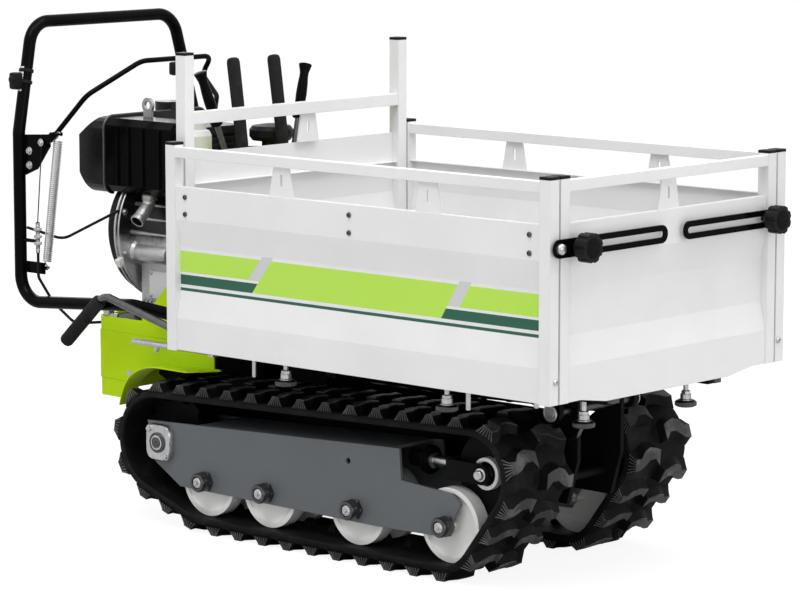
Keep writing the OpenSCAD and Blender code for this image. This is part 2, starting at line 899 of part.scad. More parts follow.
module air_filter() {
    color("dimgray") at_rear() {
        rod([head_x[1] + 11, 57, 345], [filter_c[0], filter_c[1], 345], 16);
        translate([filter_c[0], filter_c[1], 322]) cylinder(r = 20, h = 54);
        translate([filter_c[0], filter_c[1], 374]) rotate_extrude()
            polygon([[0, 0], [40, 0], [46, 8], [46, 22], [40, 30], [14, 34], [0, 34]]);
    }
}

module coolant_bottle() {
    c = [muffler_x[1] + 31.3, -105];
    color("gainsboro") at_rear() translate([c[0], c[1], 330]) rotate_extrude()
        polygon([[0, 0], [26, 0], [31, 6], [31, 66], [26, 76], [20, 78], [20, 104], [0, 104]]);
}

console_top = 330;
console_half = cover_half - 2 - cover_t - 0.3;
console_x = [-1090, -1010];

// Lever stand: two gusseted cheeks and a folded top
module control_console() {
    color("yellowgreen") at_rear() {
        for (y = [-console_half, console_half - cover_t])
            plate_xz(y, cover_t)
                polygon([
                    [-1222, deck_top + 0.3], [console_x[1], deck_top + 0.3], [console_x[1], console_top],
                    [console_x[0], console_top], [console_x[0], 148]
                ]);
        block([console_x[0], -console_half, console_top - 6], [console_x[1], console_half, console_top]);
        block([console_x[1] - cover_t, -console_half, 200], [console_x[1], console_half, console_top]);
    }
}

lever_r = 6;

// Lever with a grip, leaning by lean in x and y, its tilted foot just clear of the console
module lever(x, y, lean, h, grip, r) {
    d = unit([lean[0], lean[1], h]);
    foot = [x, y, console_top + lever_r * norm([d[0], d[1]]) + 0.3];
    top = foot + [lean[0], lean[1], h];
    rod(foot, top - d * grip / 2, lever_r);
    rod(top - d * grip, top, r);
}

module levers() {
    color("dimgray") at_rear() {
        for (y = [-66, 66]) lever(-1060, y, [-33, 0], 220, 186, 14);
        for (s = [-1, 1]) lever(-1063, s * 88, [-22, s * 66], 200, 120, 14);
    }
}

leg_x = -1520;
leg_knee = 390;
bar_end_y = console_half + bar_r + 0.3;

// Where the lower tubes start to close in on the console, at one slope for any leg width
splay = 158 / 45;
splay_x = -1022 - (bar_leg_y - bar_end_y) * splay;

module handlebar() {
    color("dimgray") at_rear()
        bent_bar([
            [-1022, -bar_end_y, 34], [splay_x, -bar_leg_y, 58], [leg_x, -bar_leg_y, 33],
            [leg_x, -bar_leg_y, leg_knee], [bar_x, -bar_top_y, bar_top_z],
            [bar_x, bar_top_y, bar_top_z], [leg_x, bar_leg_y, leg_knee],
            [leg_x, bar_leg_y, 33], [splay_x, bar_leg_y, 58], [-1022, bar_end_y, 34]
        ], 55, bar_r);
}

// Switch housings saddled on the upper legs
module bar_switches() {
    switch_z = 503;
    leg_y = bar_leg_y + (bar_top_y - bar_leg_y) * (switch_z - leg_knee) / (bar_top_z - leg_knee);
    color("dimgray") at_rear() difference() {
        union() {
            block([-1540, -leg_y - 32.5, switch_z - 23], [-1514, -leg_y - 2.5, switch_z + 23]);
            block([-1538, leg_y - 33.5, switch_z - 19], [-1514, leg_y - 3.5, switch_z + 19]);
        }
        for (s = [-1, 1])
            rod([leg_x, s * bar_leg_y, leg_knee], [bar_x, s * bar_top_y, bar_top_z], bar_r + 0.3);
    }
}

// Pins that hold the two ends of the bail spring, and the play of its rings on them
spring_low = [-1460, 108];
spring_high = [-1417, 390];
spring_pin_r = 3;
spring_wire = 1.6;
spring_y = -bar_leg_y + 18;
bail_pivot = [-1445, 373];
bail_r = 5.5;
crank_y = -bar_leg_y - 2;
crank_t = 4;
bracket_y = -bar_leg_y + 4;
bail_out = bar_leg_y + 6;
bail_in = bar_leg_y - 19;

module plate_xz(y0, t) {
    translate([0, y0 + t, 0])
        rotate([90, 0, 0])
            linear_extrude(t) children();
}

module bar_brackets() {
    leg_front = leg_x + bar_r + 0.3;
    color("dimgray") at_rear() {
        for (y = [bracket_y, -bracket_y - crank_t])
            plate_xz(y, crank_t) difference() {
                polygon([
                    [leg_front - 0.6, 300], [-1470, 315], [-1430, 365], [-1432, 390], [leg_front - 0.6, 385]
                ]);
                translate(bail_pivot) circle(r = bail_r + 0.1);
            }
        block([leg_front, bracket_y, spring_low[1] - 12],
            [spring_low[0] + 8, bracket_y + crank_t, spring_low[1] + 12]);
        rod_y(spring_low[0], spring_low[1], bracket_y + 1, spring_y + 6, spring_pin_r);
        rod([leg_front, crank_y, 165], [-1468, crank_y, 165], 4);
    }
}

module clutch_bail() {
    color("dimgray") at_rear() {
        bent_bar([
            [bail_pivot[0], -bail_out, bail_pivot[1]], [bail_pivot[0], -bail_in, bail_pivot[1]], [-1362, -209, 472],
            [-1309, -103, 540], [-1309, 103, 540], [-1362, 209, 472],
            [bail_pivot[0], bail_in, bail_pivot[1]], [bail_pivot[0], bail_out, bail_pivot[1]]
        ], 9, bail_r);
        plate_xz(crank_y, crank_t)
            polygon([[-1453, 367], [-1440, 364], [-1410, 383], [-1413, 397], [-1446, 382]]);
        rod_y(spring_high[0], spring_high[1], crank_y + 1, spring_y + 6, spring_pin_r);
    }
}

module bail_spring() {
    ring = spring_pin_r + 0.3 + spring_wire;
    low = [spring_low[0], spring_y, spring_low[1]];
    high = [spring_high[0], spring_y, spring_high[1]];
    d = unit(high - low);
    color("silver") at_rear() {
        rod(low + d * (ring + 0.6), high - d * (ring + 0.6), 9);
        for (c = [low, high])
            translate(c) rotate([90, 0, 0]) rotate_extrude() translate([ring, 0]) circle(r = spring_wire);
    }
}

module cables() {
    adjuster = [-1463.5, crank_y];
    top = 205;
    color("black") at_rear() {
        translate([adjuster[0], adjuster[1], 141]) cylinder(r = 4.2, h = top - 141);
        rod([adjuster[0], adjuster[1], top + 0.3], [-1450, adjuster[1] + 2, 365.5], 1.2);
        bent_bar([[adjuster[0], adjuster[1], 145], [adjuster[0], adjuster[1], 90], [-1448, -232, 36],
            [-1400, -215, -6], [cover_rear - 4, -110, -8]], 24, 3);
        bent_bar([[-1508.5, -bar_leg_y + 8, 190], [-1450, -200, 165], [-1338, -146.5, crank_z + 46]], 40, 3);
    }
}

chassis_frame();
gearbox();
engine_deck();
right_track();
left_track();
right_track_frame();
left_track_frame();
right_rollers();
left_rollers();
right_sprocket();
left_sprocket();
right_idler();
left_idler();
right_tensioner();
left_tensioner();
hinge_pin();
engine_block();
recoil_starter();
fuel_tank();
muffler();
exhaust();
lifting_eye();
air_filter();
coolant_bottle();
rear_cover();
control_console();
levers();
handlebar();
bar_switches();
bar_brackets();
clutch_bail();
bail_spring();
cables();
bed_floor();
headboard();
bed_knobs();
lift_handle();
latch_rod();
right_side();
right_side_bars();
left_side();
left_side_bars();
front_gate();
gate_bars();
gate_knobs();
right_link();
left_link();
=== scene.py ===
"""Looks of the tracked site dumper: studio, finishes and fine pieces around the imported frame."""

import logging
import math
from bisect import bisect_right
from dataclasses import dataclass, field
from enum import Enum
from typing import Any, Callable, Sequence

import bmesh
import bpy
from mathutils import Matrix, Vector


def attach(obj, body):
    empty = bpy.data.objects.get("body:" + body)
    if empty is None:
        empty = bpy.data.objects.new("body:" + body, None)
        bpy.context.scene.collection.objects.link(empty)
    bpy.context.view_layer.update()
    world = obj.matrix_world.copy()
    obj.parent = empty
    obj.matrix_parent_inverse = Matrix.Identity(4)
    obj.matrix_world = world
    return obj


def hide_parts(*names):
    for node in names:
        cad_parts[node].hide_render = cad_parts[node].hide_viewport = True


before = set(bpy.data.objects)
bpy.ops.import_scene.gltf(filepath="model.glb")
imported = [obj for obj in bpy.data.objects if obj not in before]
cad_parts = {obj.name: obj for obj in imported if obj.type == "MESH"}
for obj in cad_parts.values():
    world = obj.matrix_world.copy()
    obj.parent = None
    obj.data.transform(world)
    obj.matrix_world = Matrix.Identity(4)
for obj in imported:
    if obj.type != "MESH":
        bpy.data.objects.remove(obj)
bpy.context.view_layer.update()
LOG = logging.getLogger("site_dumper")

BOX_FRONT_X = 0.75075
POST_FOOT_Z = 0.384
MM = 0.001
X_AXIS, Y_AXIS, Z_AXIS = Vector((1, 0, 0)), Vector((0, 1, 0)), Vector((0, 0, 1))
SIDES = (-1, 1)

BMesh = bmesh.types.BMesh
Pair = tuple[float, float]
Point = tuple[float, float, float]
Colour = tuple[float, float, float]
Profile = Sequence[Pair]


def at(x: float, y: float, z: float) -> Vector:
    """Place in the row frame of a point given in mm from the box front and the post foot."""
    return Vector((x * MM + BOX_FRONT_X, y * MM, z * MM + POST_FOOT_Z))


def side_name(side: int) -> str:
    """Name of a side that is given as a sign."""
    return "left" if side > 0 else "right"


def step(k: float, count: int) -> Pair:
    """Cosine and sine of one of the even steps round a circle."""
    a = math.tau * k / count
    return math.cos(a), math.sin(a)


def operator(operation: str, swapped: bool = False) -> Callable[["Sock", Any], "Sock"]:
    """Make an arithmetic method of a socket.

    Args:
        operation: Blender's name of the operation.
        swapped: Whether the socket is the second value.

    Returns:
        The method.
    """

    def method(self: "Sock", other: Any) -> "Sock":
        """Math node of the two values."""
        first, second = (other, self) if swapped else (self, other)
        return self.shade.node("ShaderNodeMath", {"operation": operation}, {0: first, 1: second})

    return method


@dataclass(eq=False)
class Sock:
    """A shader socket that takes part in Python arithmetic."""

    shade: "Shade"
    socket: bpy.types.NodeSocket

    __add__ = operator("ADD")
    __radd__ = operator("ADD", True)
    __sub__ = operator("SUBTRACT")
    __rsub__ = operator("SUBTRACT", True)
    __mul__ = operator("MULTIPLY")
    __rmul__ = operator("MULTIPLY", True)
    __gt__ = operator("GREATER_THAN")
    __lt__ = operator("LESS_THAN")

    def between(self, low: Any, high: Any) -> "Sock":
        """One where the value lies between two bounds."""
        return (self > low) * (self < high)


class Shade:
    """Nodes under construction, of a material or of the world."""

    def __init__(self, owner: bpy.types.ID) -> None:
        """Start on the nodes of a data block.

        Args:
            owner: Material or world.
        """
        owner.use_nodes = True
        self.owner = owner
        self.tree = owner.node_tree

    def node(self, kind: str, settings: dict | None = None, inputs: dict | None = None,
             out: Any = 0) -> Sock:
        """Add any node.

        Args:
            kind: Blender type of the node.
            settings: Attributes to set first; "stops" fills a colour ramp.
            inputs: Values or links by socket name or number.
            out: Name or number of the output to return.

        Returns:
            The chosen output.
        """
        made = self.tree.nodes.new(kind)
        for key, value in (settings or {}).items():
            if key == "stops":
                self.fill_ramp(made.color_ramp, value)
            else:
                setattr(made, key, value)
        for key, value in (inputs or {}).items():
            self.feed(made.inputs[key], value)
        return Sock(self, made.outputs[out])

    @staticmethod
    def fill_ramp(ramp: bpy.types.ColorRamp, stops: Profile) -> None:
        """Write the stops of a colour ramp.

        Args:
            ramp: Ramp to fill.
            stops: Pairs of position and grey level.
        """
        while len(ramp.elements) < len(stops):
            ramp.elements.new(0.5)
        for element, (place, tone) in zip(ramp.elements, stops):
            element.position = place
            element.color = (tone, tone, tone, 1)

    def feed(self, socket: bpy.types.NodeSocket, value: Any) -> None:
        """Link or set a socket.

        Args:
            socket: Input to feed.
            value: Number, colour or wrapped socket.
        """
        if isinstance(value, Sock):
            self.tree.links.new(value.socket, socket)
        elif socket.type == "RGBA":
            socket.default_value = (*value, 1)
        else:
            socket.default_value = value

    def shader(self) -> bpy.types.Node:
        """The material's Principled shader."""
        return self.tree.nodes["Principled BSDF"]

    def set(self, **values: Any) -> None:
        """Feed sockets of the shader, with _ for a space in their names."""
        for key, value in values.items():
            self.feed(self.shader().inputs[key.replace("_", " ")], value)

    def overpaint(self, mask: Sock, colour: Colour) -> None:
        """Lay a colour over the base colour.

        Args:
            mask: One where the new colour shows.
            colour: New colour.
        """
        below = self.shader().inputs["Base Color"].links[0].from_socket
        self.set(Base_Color=self.mix(mask, Sock(self, below), colour))

    def place(self) -> Sock:
        """Object coordinates of the surface point."""
        return self.node("ShaderNodeTexCoord", out="Object")

    def axes(self, vector: Sock) -> tuple[Sock, Sock, Sock]:
        """Split a vector into its three parts."""
        split = self.node("ShaderNodeSeparateXYZ", inputs={0: vector}).socket.node
        return tuple(Sock(self, part) for part in split.outputs)

    def local(self) -> tuple[Sock, Sock, Sock]:
        """Surface point in mm from the box front, the middle and the post foot."""
        x, y, z = self.axes(self.place())
        return (x - BOX_FRONT_X) * (1 / MM), y * (1 / MM), (z - POST_FOOT_Z) * (1 / MM)

    def noise(self, scale: float, detail: float = 3.0, rough: float = 0.55) -> Sock:
        """Noise value.

        Args:
            scale: Cells per metre.
            detail: Octaves.
            rough: Share of each finer octave.

        Returns:
            Noise between 0 and 1.
        """
        return self.node("ShaderNodeTexNoise", None, {
            "Vector": self.place(), "Scale": scale, "Detail": detail, "Roughness": rough})

    def ramp(self, value: Sock, low: float, high: float) -> Sock:
        """Slope from 0 at the low value to 1 at the high one."""
        return self.node("ShaderNodeValToRGB", {"stops": ((low, 0.0), (high, 1.0))}, {0: value})

    def mix(self, factor: Sock, first: Any, second: Any) -> Sock:
        """Blend two colours.

        Args:
            factor: Share of the second.
            first: Colour or socket.
            second: Colour or socket.

        Returns:
            Blended colour.
        """
        return self.node("ShaderNodeMix", {"data_type": "RGBA"}, {0: factor, 6: first, 7: second}, 2)

    def bump(self, height: Sock, strength: float, depth: float, soften: float = 0.0) -> Sock:
        """Bump normal.

        Args:
            height: Height map.
            strength: Strength of the effect.
            depth: Height of the map in metres.
            soften: Radius of rounded edges in metres, or 0.

        Returns:
            Normal socket.
        """
        inputs = {"Height": height, "Strength": strength, "Distance": depth}
        if soften:
            inputs["Normal"] = self.node("ShaderNodeBevel", {"samples": 4}, {"Radius": soften})
        return self.node("ShaderNodeBump", None, inputs)


@dataclass(frozen=True)
class Finish:
    """A finish that makes its own material."""

    name: str
    colour: Colour

    def shade(self) -> Shade:
        """Nodes of the finished material."""
        return Shade(bpy.data.materials.new(self.name))

    def darker(self, loss: float) -> Colour:
        """Colour of the finish with a share of its light taken away."""
        return tuple(c * (1 - loss) for c in self.colour)


@dataclass(frozen=True)
class PowderCoat(Finish):
    """Powder coat with a fine orange peel and rounded edges."""

    rough: float = 0.32
    peel: float = 0.05
    edge: float = 0.0014
    dust: float = 0.06
    shine: float = 0.5

    def shade(self) -> Shade:
        """Make a coat with soft clouds of dust.

        Returns:
            The nodes of its material.
        """
        made = super().shade()
        cloud = made.ramp(made.noise(scale=5.0, detail=4.0), 0.35, 0.7)
        made.set(
            Base_Color=made.mix(cloud, self.colour, self.darker(self.dust)),
            Roughness=self.rough + 0.12 * (made.noise(scale=38.0) - 0.5),
            Specular_IOR_Level=self.shine,
            Normal=made.bump(made.noise(scale=520.0, detail=2.0), self.peel, 0.0006, self.edge),
        )
        return made


@dataclass(frozen=True)
class StripedCoat(PowderCoat):
    """White coat with the slanted stripes of the side panels; sizes in mm."""

    lime: Colour = (0.485, 0.780, 0.082)
    green: Colour = (0.012, 0.102, 0.058)
    silver: Colour = (0.62, 0.62, 0.64)
    lime_band: Pair = (156.0, 198.0)
    green_band: Pair = (131.5, 151.0)
    line_band: Pair = (119.0, 125.0)
    bars: Pair = (-750.8, -241.8)
    slants: Pair = (0.786, 0.62)
    bar_width: float = 29.5
    bar_top: float = 204.5
    middle_z: float = 179.0
    ends: Pair = (-955.0, -25.0)
    outward: float = 200.0

    def shade(self) -> Shade:
        """Make the coat with stripes on the outward pressed face.

        Returns:
            The nodes of its material.
        """
        made = super().shade()
        x, y, z = made.local()
        outside = made.axes(made.node("ShaderNodeNewGeometry", out="Normal"))[1] * y > self.outward
        body = x.between(*self.ends) * outside
        left, right = (
            x - (z - self.middle_z) * slant - start for slant, start in zip(self.slants, self.bars))
        middle = (left > self.bar_width) * (right < 0.0)
        bars = left.between(0.0, self.bar_width) + right.between(0.0, self.bar_width)
        high = z.between(*self.lime_band)
        low = z.between(self.green_band[0], self.lime_band[0])
        made.overpaint(body * (high + low * middle), self.lime)
        made.overpaint(body * z.between(self.lime_band[0], self.bar_top) * bars, self.silver)
        made.overpaint(body * z.between(*self.green_band) * (1 - middle), self.green)
        made.overpaint(body * z.between(*self.line_band), self.green)
        return made


@dataclass(frozen=True)
class FloorCoat(PowderCoat):
    """Dark coat with pale upward faces above a level in mm, for the bed floor."""

    upper: Colour = (0.34, 0.34, 0.345)
    level: float = 30.0

    def shade(self) -> Shade:
        """Make the two-coloured coat.

        Returns:
            The nodes of its material.
        """
        made = super().shade()
        facing = made.axes(made.node("ShaderNodeTexCoord", out="Normal"))[2] > 0.5
        made.overpaint(facing * (made.local()[2] > self.level), self.upper)
        return made


@dataclass(frozen=True)
class PlatedSteel(Finish):
    """Zinc plated or cast metal with faint streaks."""

    rough: float = 0.32
    grain: float = 90.0
    depth: float = 0.0002
    metal: float = 1.0
    dulling: float = 0.28

    def shade(self) -> Shade:
        """Make a grained metal.

        Returns:
            The nodes of its material.
        """
        made = super().shade()
        grain = made.noise(self.grain, 4.0, 0.6)
        made.set(
            Base_Color=made.mix(made.ramp(grain, 0.35, 0.75), self.colour, self.darker(self.dulling)),
            Metallic=self.metal,
            Roughness=self.rough + 0.2 * (made.noise(self.grain * 0.6) - 0.5),
            Normal=made.bump(grain, 0.25, self.depth, 0.0008),
        )
        return made


@dataclass(frozen=True)
class BandedAlloy(PlatedSteel):
    """Cast metal with its own colour in one height band and darker above and below; sizes in mm."""

    dark_fill: Colour = (0.035, 0.035, 0.036)
    plain_band: Pair = (34.0, 172.0)
    waver: float = 40.0

    def shade(self) -> Shade:
        """Make the metal with its darker bands.

        Returns:
            The nodes of its material.
        """
        made = super().shade()
        # Darker colour above and below the plain height band, its edges wavering with noise.
        height = made.local()[2] + self.waver * (made.noise(scale=24.0, detail=4.0) - 0.5)
        low, high = (made.ramp((height - edge) * 0.02 + 0.5, 0.3, 0.7) for edge in self.plain_band)
        made.overpaint(1 - low * (1 - high), self.dark_fill)
        return made


@dataclass(frozen=True)
class Rubber(Finish):
    """Moulded rubber or foam with a fine grain and pale patches of rubbed wear; on the lug crowns the patches
    are brightened into a painted sheen.
    """

    patch_tone: Colour
    rough: float = 0.62
    grain: float = 900.0
    depth: float = 0.0004
    shine: float = 0.12

    def shade(self) -> Shade:
        """Make the rubbed rubber.

        Returns:
            The nodes of its material.
        """
        made = super().shade()
        patch = made.ramp(made.noise(scale=26.0, detail=5.0, rough=0.65), 0.48, 0.78)
        relief = made.noise(self.grain, rough=0.7) + 2.0 * made.noise(scale=110.0)
        made.set(
            Base_Color=made.mix(patch, self.colour, self.patch_tone),
            Roughness=self.rough + 0.2 * (made.noise(scale=60.0) - 0.5),
            Specular_IOR_Level=self.shine,
            Normal=made.bump(relief, 0.35, self.depth),
        )
        return made


BLACK_FRAME = {"colour": (0.005, 0.005, 0.0055), "rough": 0.5, "edge": 0.0004, "dust": 0.3, "shine": 0.06}
CASTING = {"rough": 0.36, "grain": 260.0, "depth": 0.0008, "metal": 0.8}


class Look(Enum):
    """Finishes of the machine."""

    WHITE = PowderCoat("white_paint", (0.83, 0.83, 0.835), 0.34)
    STRIPES = StripedCoat("striped_paint", (0.83, 0.83, 0.835), 0.34)
    LIME = PowderCoat("lime_paint", (0.560, 0.820, 0.016), 0.44, dust=0.1, shine=0.02)
    SLATE = PowderCoat("slate_paint", (0.130, 0.142, 0.152), 0.42, peel=0.09, shine=0.35)
    GLOSS_BLACK = PowderCoat("black_paint", (0.0025, 0.0025, 0.003), 0.16, dust=0.3, shine=0.05)
    FRAME_BLACK = PowderCoat("frame_black", **BLACK_FRAME)
    FLOOR = FloorCoat("floor_paint", **BLACK_FRAME)
    CREAM = PowderCoat("cream_paint", (0.90, 0.895, 0.88), 0.3, peel=0.12, dust=0.1)
    PLASTIC = PowderCoat("black_plastic", (0.008, 0.008, 0.0085), 0.46, peel=0.35, dust=0.25, shine=0.14)
    TANK = PowderCoat("tank_black", (0.004, 0.004, 0.0045), 0.24, peel=0.2, dust=0.25, shine=0.42)
    BOTTLE = PowderCoat("bottle_plastic", (0.70, 0.70, 0.68), 0.35, peel=0.1)
    ZINC = PlatedSteel("zinc_steel", (0.62, 0.62, 0.63))
    ALLOY = PlatedSteel("cast_alloy", (0.56, 0.56, 0.57), **CASTING)
    BANDED = BandedAlloy("banded_alloy", (0.62, 0.62, 0.63), **CASTING)
    DARK_STEEL = PlatedSteel("dark_steel", (0.12, 0.12, 0.125), 0.36, 140.0)
    DARK_CHROME = PlatedSteel("dark_chrome", (0.16, 0.16, 0.17), 0.2, 60.0, 0.0001)
    RUBBER = Rubber("track_rubber", (0.004, 0.004, 0.0045), (0.014, 0.014, 0.015))
    # Lug crowns: real wear, with the pale patches brightened into a painted sheen.
    WORN_SHEEN = Rubber("worn_sheen_rubber", (0.026, 0.026, 0.027), (0.170, 0.170, 0.172), 0.4, shine=0.4)
    CROWN = Rubber("scuffed_rubber", (0.090, 0.090, 0.092), (0.230, 0.230, 0.232), 0.55)
    FOAM = Rubber("grip_foam", (0.014, 0.014, 0.015), (0.032, 0.032, 0.033), 0.8, 1500.0)


SHADES: dict[Look, tuple[str, ...]] = {
    Look.WHITE: ("headboard", "front_gate"),
    Look.STRIPES: ("right_side", "left_side"),
    Look.LIME: ("rear_cover", "control_console"),
    Look.SLATE: ("right_track_frame", "left_track_frame"),
    Look.DARK_CHROME: ("lift_handle",),
    Look.GLOSS_BLACK: ("handlebar", "bar_brackets", "clutch_bail", "muffler", "right_link", "left_link"),
    Look.FRAME_BLACK: ("chassis_frame", "gearbox", "engine_deck", "right_idler", "left_idler",
                       "right_sprocket", "left_sprocket", "right_tensioner", "left_tensioner"),
    Look.FLOOR: ("bed_floor",),
    Look.CREAM: ("right_rollers", "left_rollers"),
    Look.PLASTIC: ("recoil_starter", "air_filter", "bar_switches", "cables", "gate_knobs"),
    Look.TANK: ("fuel_tank",),
    Look.BOTTLE: ("coolant_bottle",),
    Look.ZINC: ("exhaust", "lifting_eye", "bail_spring", "latch_rod"),
    Look.BANDED: ("engine_block",),
    Look.DARK_STEEL: ("bed_knobs", "hinge_pin", "right_side_bars", "left_side_bars", "gate_bars"),
    Look.RUBBER: ("right_track", "left_track"),
    Look.FOAM: ("levers",),
}


class Workshop:
    """Dresses CAD nodes and turns meshes into pieces on bodies."""

    def __init__(self) -> None:
        """Start with no materials."""
        self.materials: dict[Look, bpy.types.Material] = {}

    def paint(self, look: Look) -> bpy.types.Material:
        """Material of a finish, made once.

        Args:
            look: Finish.

        Returns:
            The material.
        """
        if look not in self.materials:
            self.materials[look] = look.value.shade().owner
        return self.materials[look]

    def dress(self, node: str, look: Look) -> None:
        """Give a CAD node a finish.

        Args:
            node: Name of the node.
            look: Finish.
        """
        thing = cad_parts[node]
        if not thing.material_slots:
            thing.data.materials.append(self.paint(look))
        for place in thing.material_slots:
            place.material = self.paint(look)

    def emit(self, name: str, bm: BMesh, look: Look, body: str = "chassis", sharp: float = 35.0,
             replaces: str = "", slot: str = "") -> None:
        """Turn a mesh into a piece that rides a body.

        Args:
            name: Name of the piece.
            bm: Mesh, freed here.
            look: Finish.
            body: CAD body.
            sharp: Angle in degrees above which an edge stays sharp.
            replaces: CAD node that the piece stands for, if any.
            slot: Material slot of the record, if it isn't named as the finish is; not used.
        """
        bmesh.ops.recalc_face_normals(bm, faces=bm.faces)
        mesh = bpy.data.meshes.new(name)
        bm.to_mesh(mesh)
        bm.free()
        mesh.shade_smooth()
        mesh.set_sharp_from_angle(angle=math.radians(sharp))
        mesh.materials.append(self.paint(look))
        thing = bpy.data.objects.new(name, mesh)
        bpy.context.scene.collection.objects.link(thing)
        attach(thing, body)
        if replaces:
            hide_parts(replaces)
        LOG.info("%s rides %s with %d faces", name, body, len(mesh.polygons))


def loft(bm: BMesh, rings: Sequence[Sequence[bmesh.types.BMVert]]) -> None:
    """Skin over rings of points, closed at its ends unless the last ring is the first again.

    Args:
        bm: Mesh to add to.
        rings: Rings with as many points each, or with a single one at a tip.
    """
    for low, high in zip(rings, rings[1:]):
        for k in range(max(len(low), len(high))):
            n = k + 1
            corners = (low[k % len(low)], low[n % len(low)], high[n % len(high)], high[k % len(high)])
            face = list(dict.fromkeys(corners))
            if len(face) > 2:
                bm.faces.new(face)
    if rings[-1] is not rings[0]:
        for ring in (rings[0][::-1], rings[-1]):
            if len(ring) > 1:
                bm.faces.new(ring)


def lathe(bm: BMesh, base: Vector, axis: Vector, profile: Profile, sides: int = 32) -> None:
    """Revolve a profile about an axis into a closed solid; radii and heights in mm.

    Args:
        bm: Mesh to add to.
        base: Origin of the profile in the row frame.
        axis: Direction of growing height.
        profile: Pairs of radius and height; a ring's ends on its start.
        sides: Steps round the axis.
    """
    place = Matrix.Translation(base) @ axis.to_track_quat("Z", "Y").to_matrix().to_4x4()
    rounds = [step(k, sides) for k in range(sides)]
    ends_on_start = profile[0] == profile[-1]
    rings = []
    for radius, height in profile[:-1] if ends_on_start else profile:
        rings.append([bm.verts.new(place @ Vector((radius * MM * c, radius * MM * s, height * MM)))
                      for c, s in (rounds if radius else [(0, 0)])])
    loft(bm, rings + rings[:1] if ends_on_start else rings)


def sweep(bm: BMesh, path: Sequence[Vector], radius: float | Sequence[float], sides: int = 12) -> None:
    """Round tube along points, closed at its ends.

    Args:
        bm: Mesh to add to.
        path: Points in the row frame.
        radius: Radius in mm, for all points or for each.
        sides: Steps round the tube.
    """
    radii = [radius] * len(path) if isinstance(radius, float) else radius
    side = (path[1] - path[0]).orthogonal().normalized()
    rings = []
    for k, (point, size) in enumerate(zip(path, radii)):
        ahead = (path[min(k + 1, len(path) - 1)] - path[max(k - 1, 0)]).normalized()
        side = (side - ahead * side.dot(ahead)).normalized()
        other = ahead.cross(side)
        rings.append([bm.verts.new(point + size * MM * (side * c + other * s))
                      for c, s in (step(j, sides) for j in range(sides))])
    loft(bm, rings)


def block(bm: BMesh, low: Vector, high: Vector, bevel: float, turn: float = 0.0) -> None:
    """Box with rounded edges.

    Args:
        bm: Mesh to add to.
        low: Lowest corner.
        high: Highest corner.
        bevel: Edge radius in mm.
        turn: Turn about the box's own X axis in degrees.
    """
    made = bmesh.new()
    bmesh.ops.create_cube(made, size=1.0)
    size = high - low
    bmesh.ops.scale(made, vec=size, verts=made.verts)
    bmesh.ops.bevel(made, geom=made.edges, offset=min(bevel * MM, 0.45 * min(size)), segments=2,
                    affect="EDGES", profile=0.6)
    place = Matrix.Translation((low + high) / 2) @ Matrix.Rotation(math.radians(turn), 4, "X")
    bmesh.ops.transform(made, matrix=place, verts=made.verts)
    spare = bpy.data.meshes.new("spare")
    made.to_mesh(spare)
    made.free()
    bm.from_mesh(spare)
    bpy.data.meshes.remove(spare)


def bend(points: Sequence[Point], radius: float, steps: int = 8) -> list[Vector]:
    """Line with rounded corners.

    Args:
        points: Corners in local mm.
        radius: Wanted corner radius in mm.
        steps: Pieces of each corner.

    Returns:
        Points of the line in the row frame.
    """
    dots = [Vector(p) for p in points]
    line = [dots[0]]
    for before, here, after in zip(dots, dots[1:], dots[2:]):
        back, ahead = before - here, after - here
        half = back.angle(ahead) / 2
        cut = min(radius / math.tan(half), 0.48 * back.length, 0.48 * ahead.length)
        start, end = here + back.normalized() * cut, here + ahead.normalized() * cut
        for k in range(steps + 1):
            t = k / steps
            line.append(start * (1 - t) ** 2 + here * 2 * t * (1 - t) + end * t * t)
    return [at(*p) for p in line + [dots[-1]]]


def hex_bolt(bm: BMesh, base: Vector, axis: Vector, size: float, washer: float) -> None:
    """Hexagon head with a chamfer, on a washer.

    Args:
        bm: Mesh to add to.
        base: Centre of the seat.
        axis: Outward direction.
        size: Thread size in mm.
        washer: Washer radius in mm.
    """
    thick, r, h = 0.16 * size, 0.92 * size, 0.68 * size
    lathe(bm, base, axis, ((0, 0), (washer, 0), (washer, thick), (0, thick)), 24)
    head = ((0, 0), (r, 0), (r, 0.85 * h), (0.86 * r, h), (0, h))
    lathe(bm, base + axis * thick * MM, axis, head, 6)


def cap_screw(bm: BMesh, base: Vector, axis: Vector, r: float, h: float) -> None:
    """Domed head with a socket.

    Args:
        bm: Mesh to add to.
        base: Centre of the seat.
        axis: Outward direction.
        r: Head radius in mm.
        h: Head height in mm.
    """
    lathe(bm, base, axis, ((0, 0), (r, 0), (r, 0.4 * h), (0.86 * r, 0.8 * h), (0.6 * r, h), (0.42 * r, h),
                           (0.42 * r, 0.5 * h), (0, 0.5 * h)), 20)


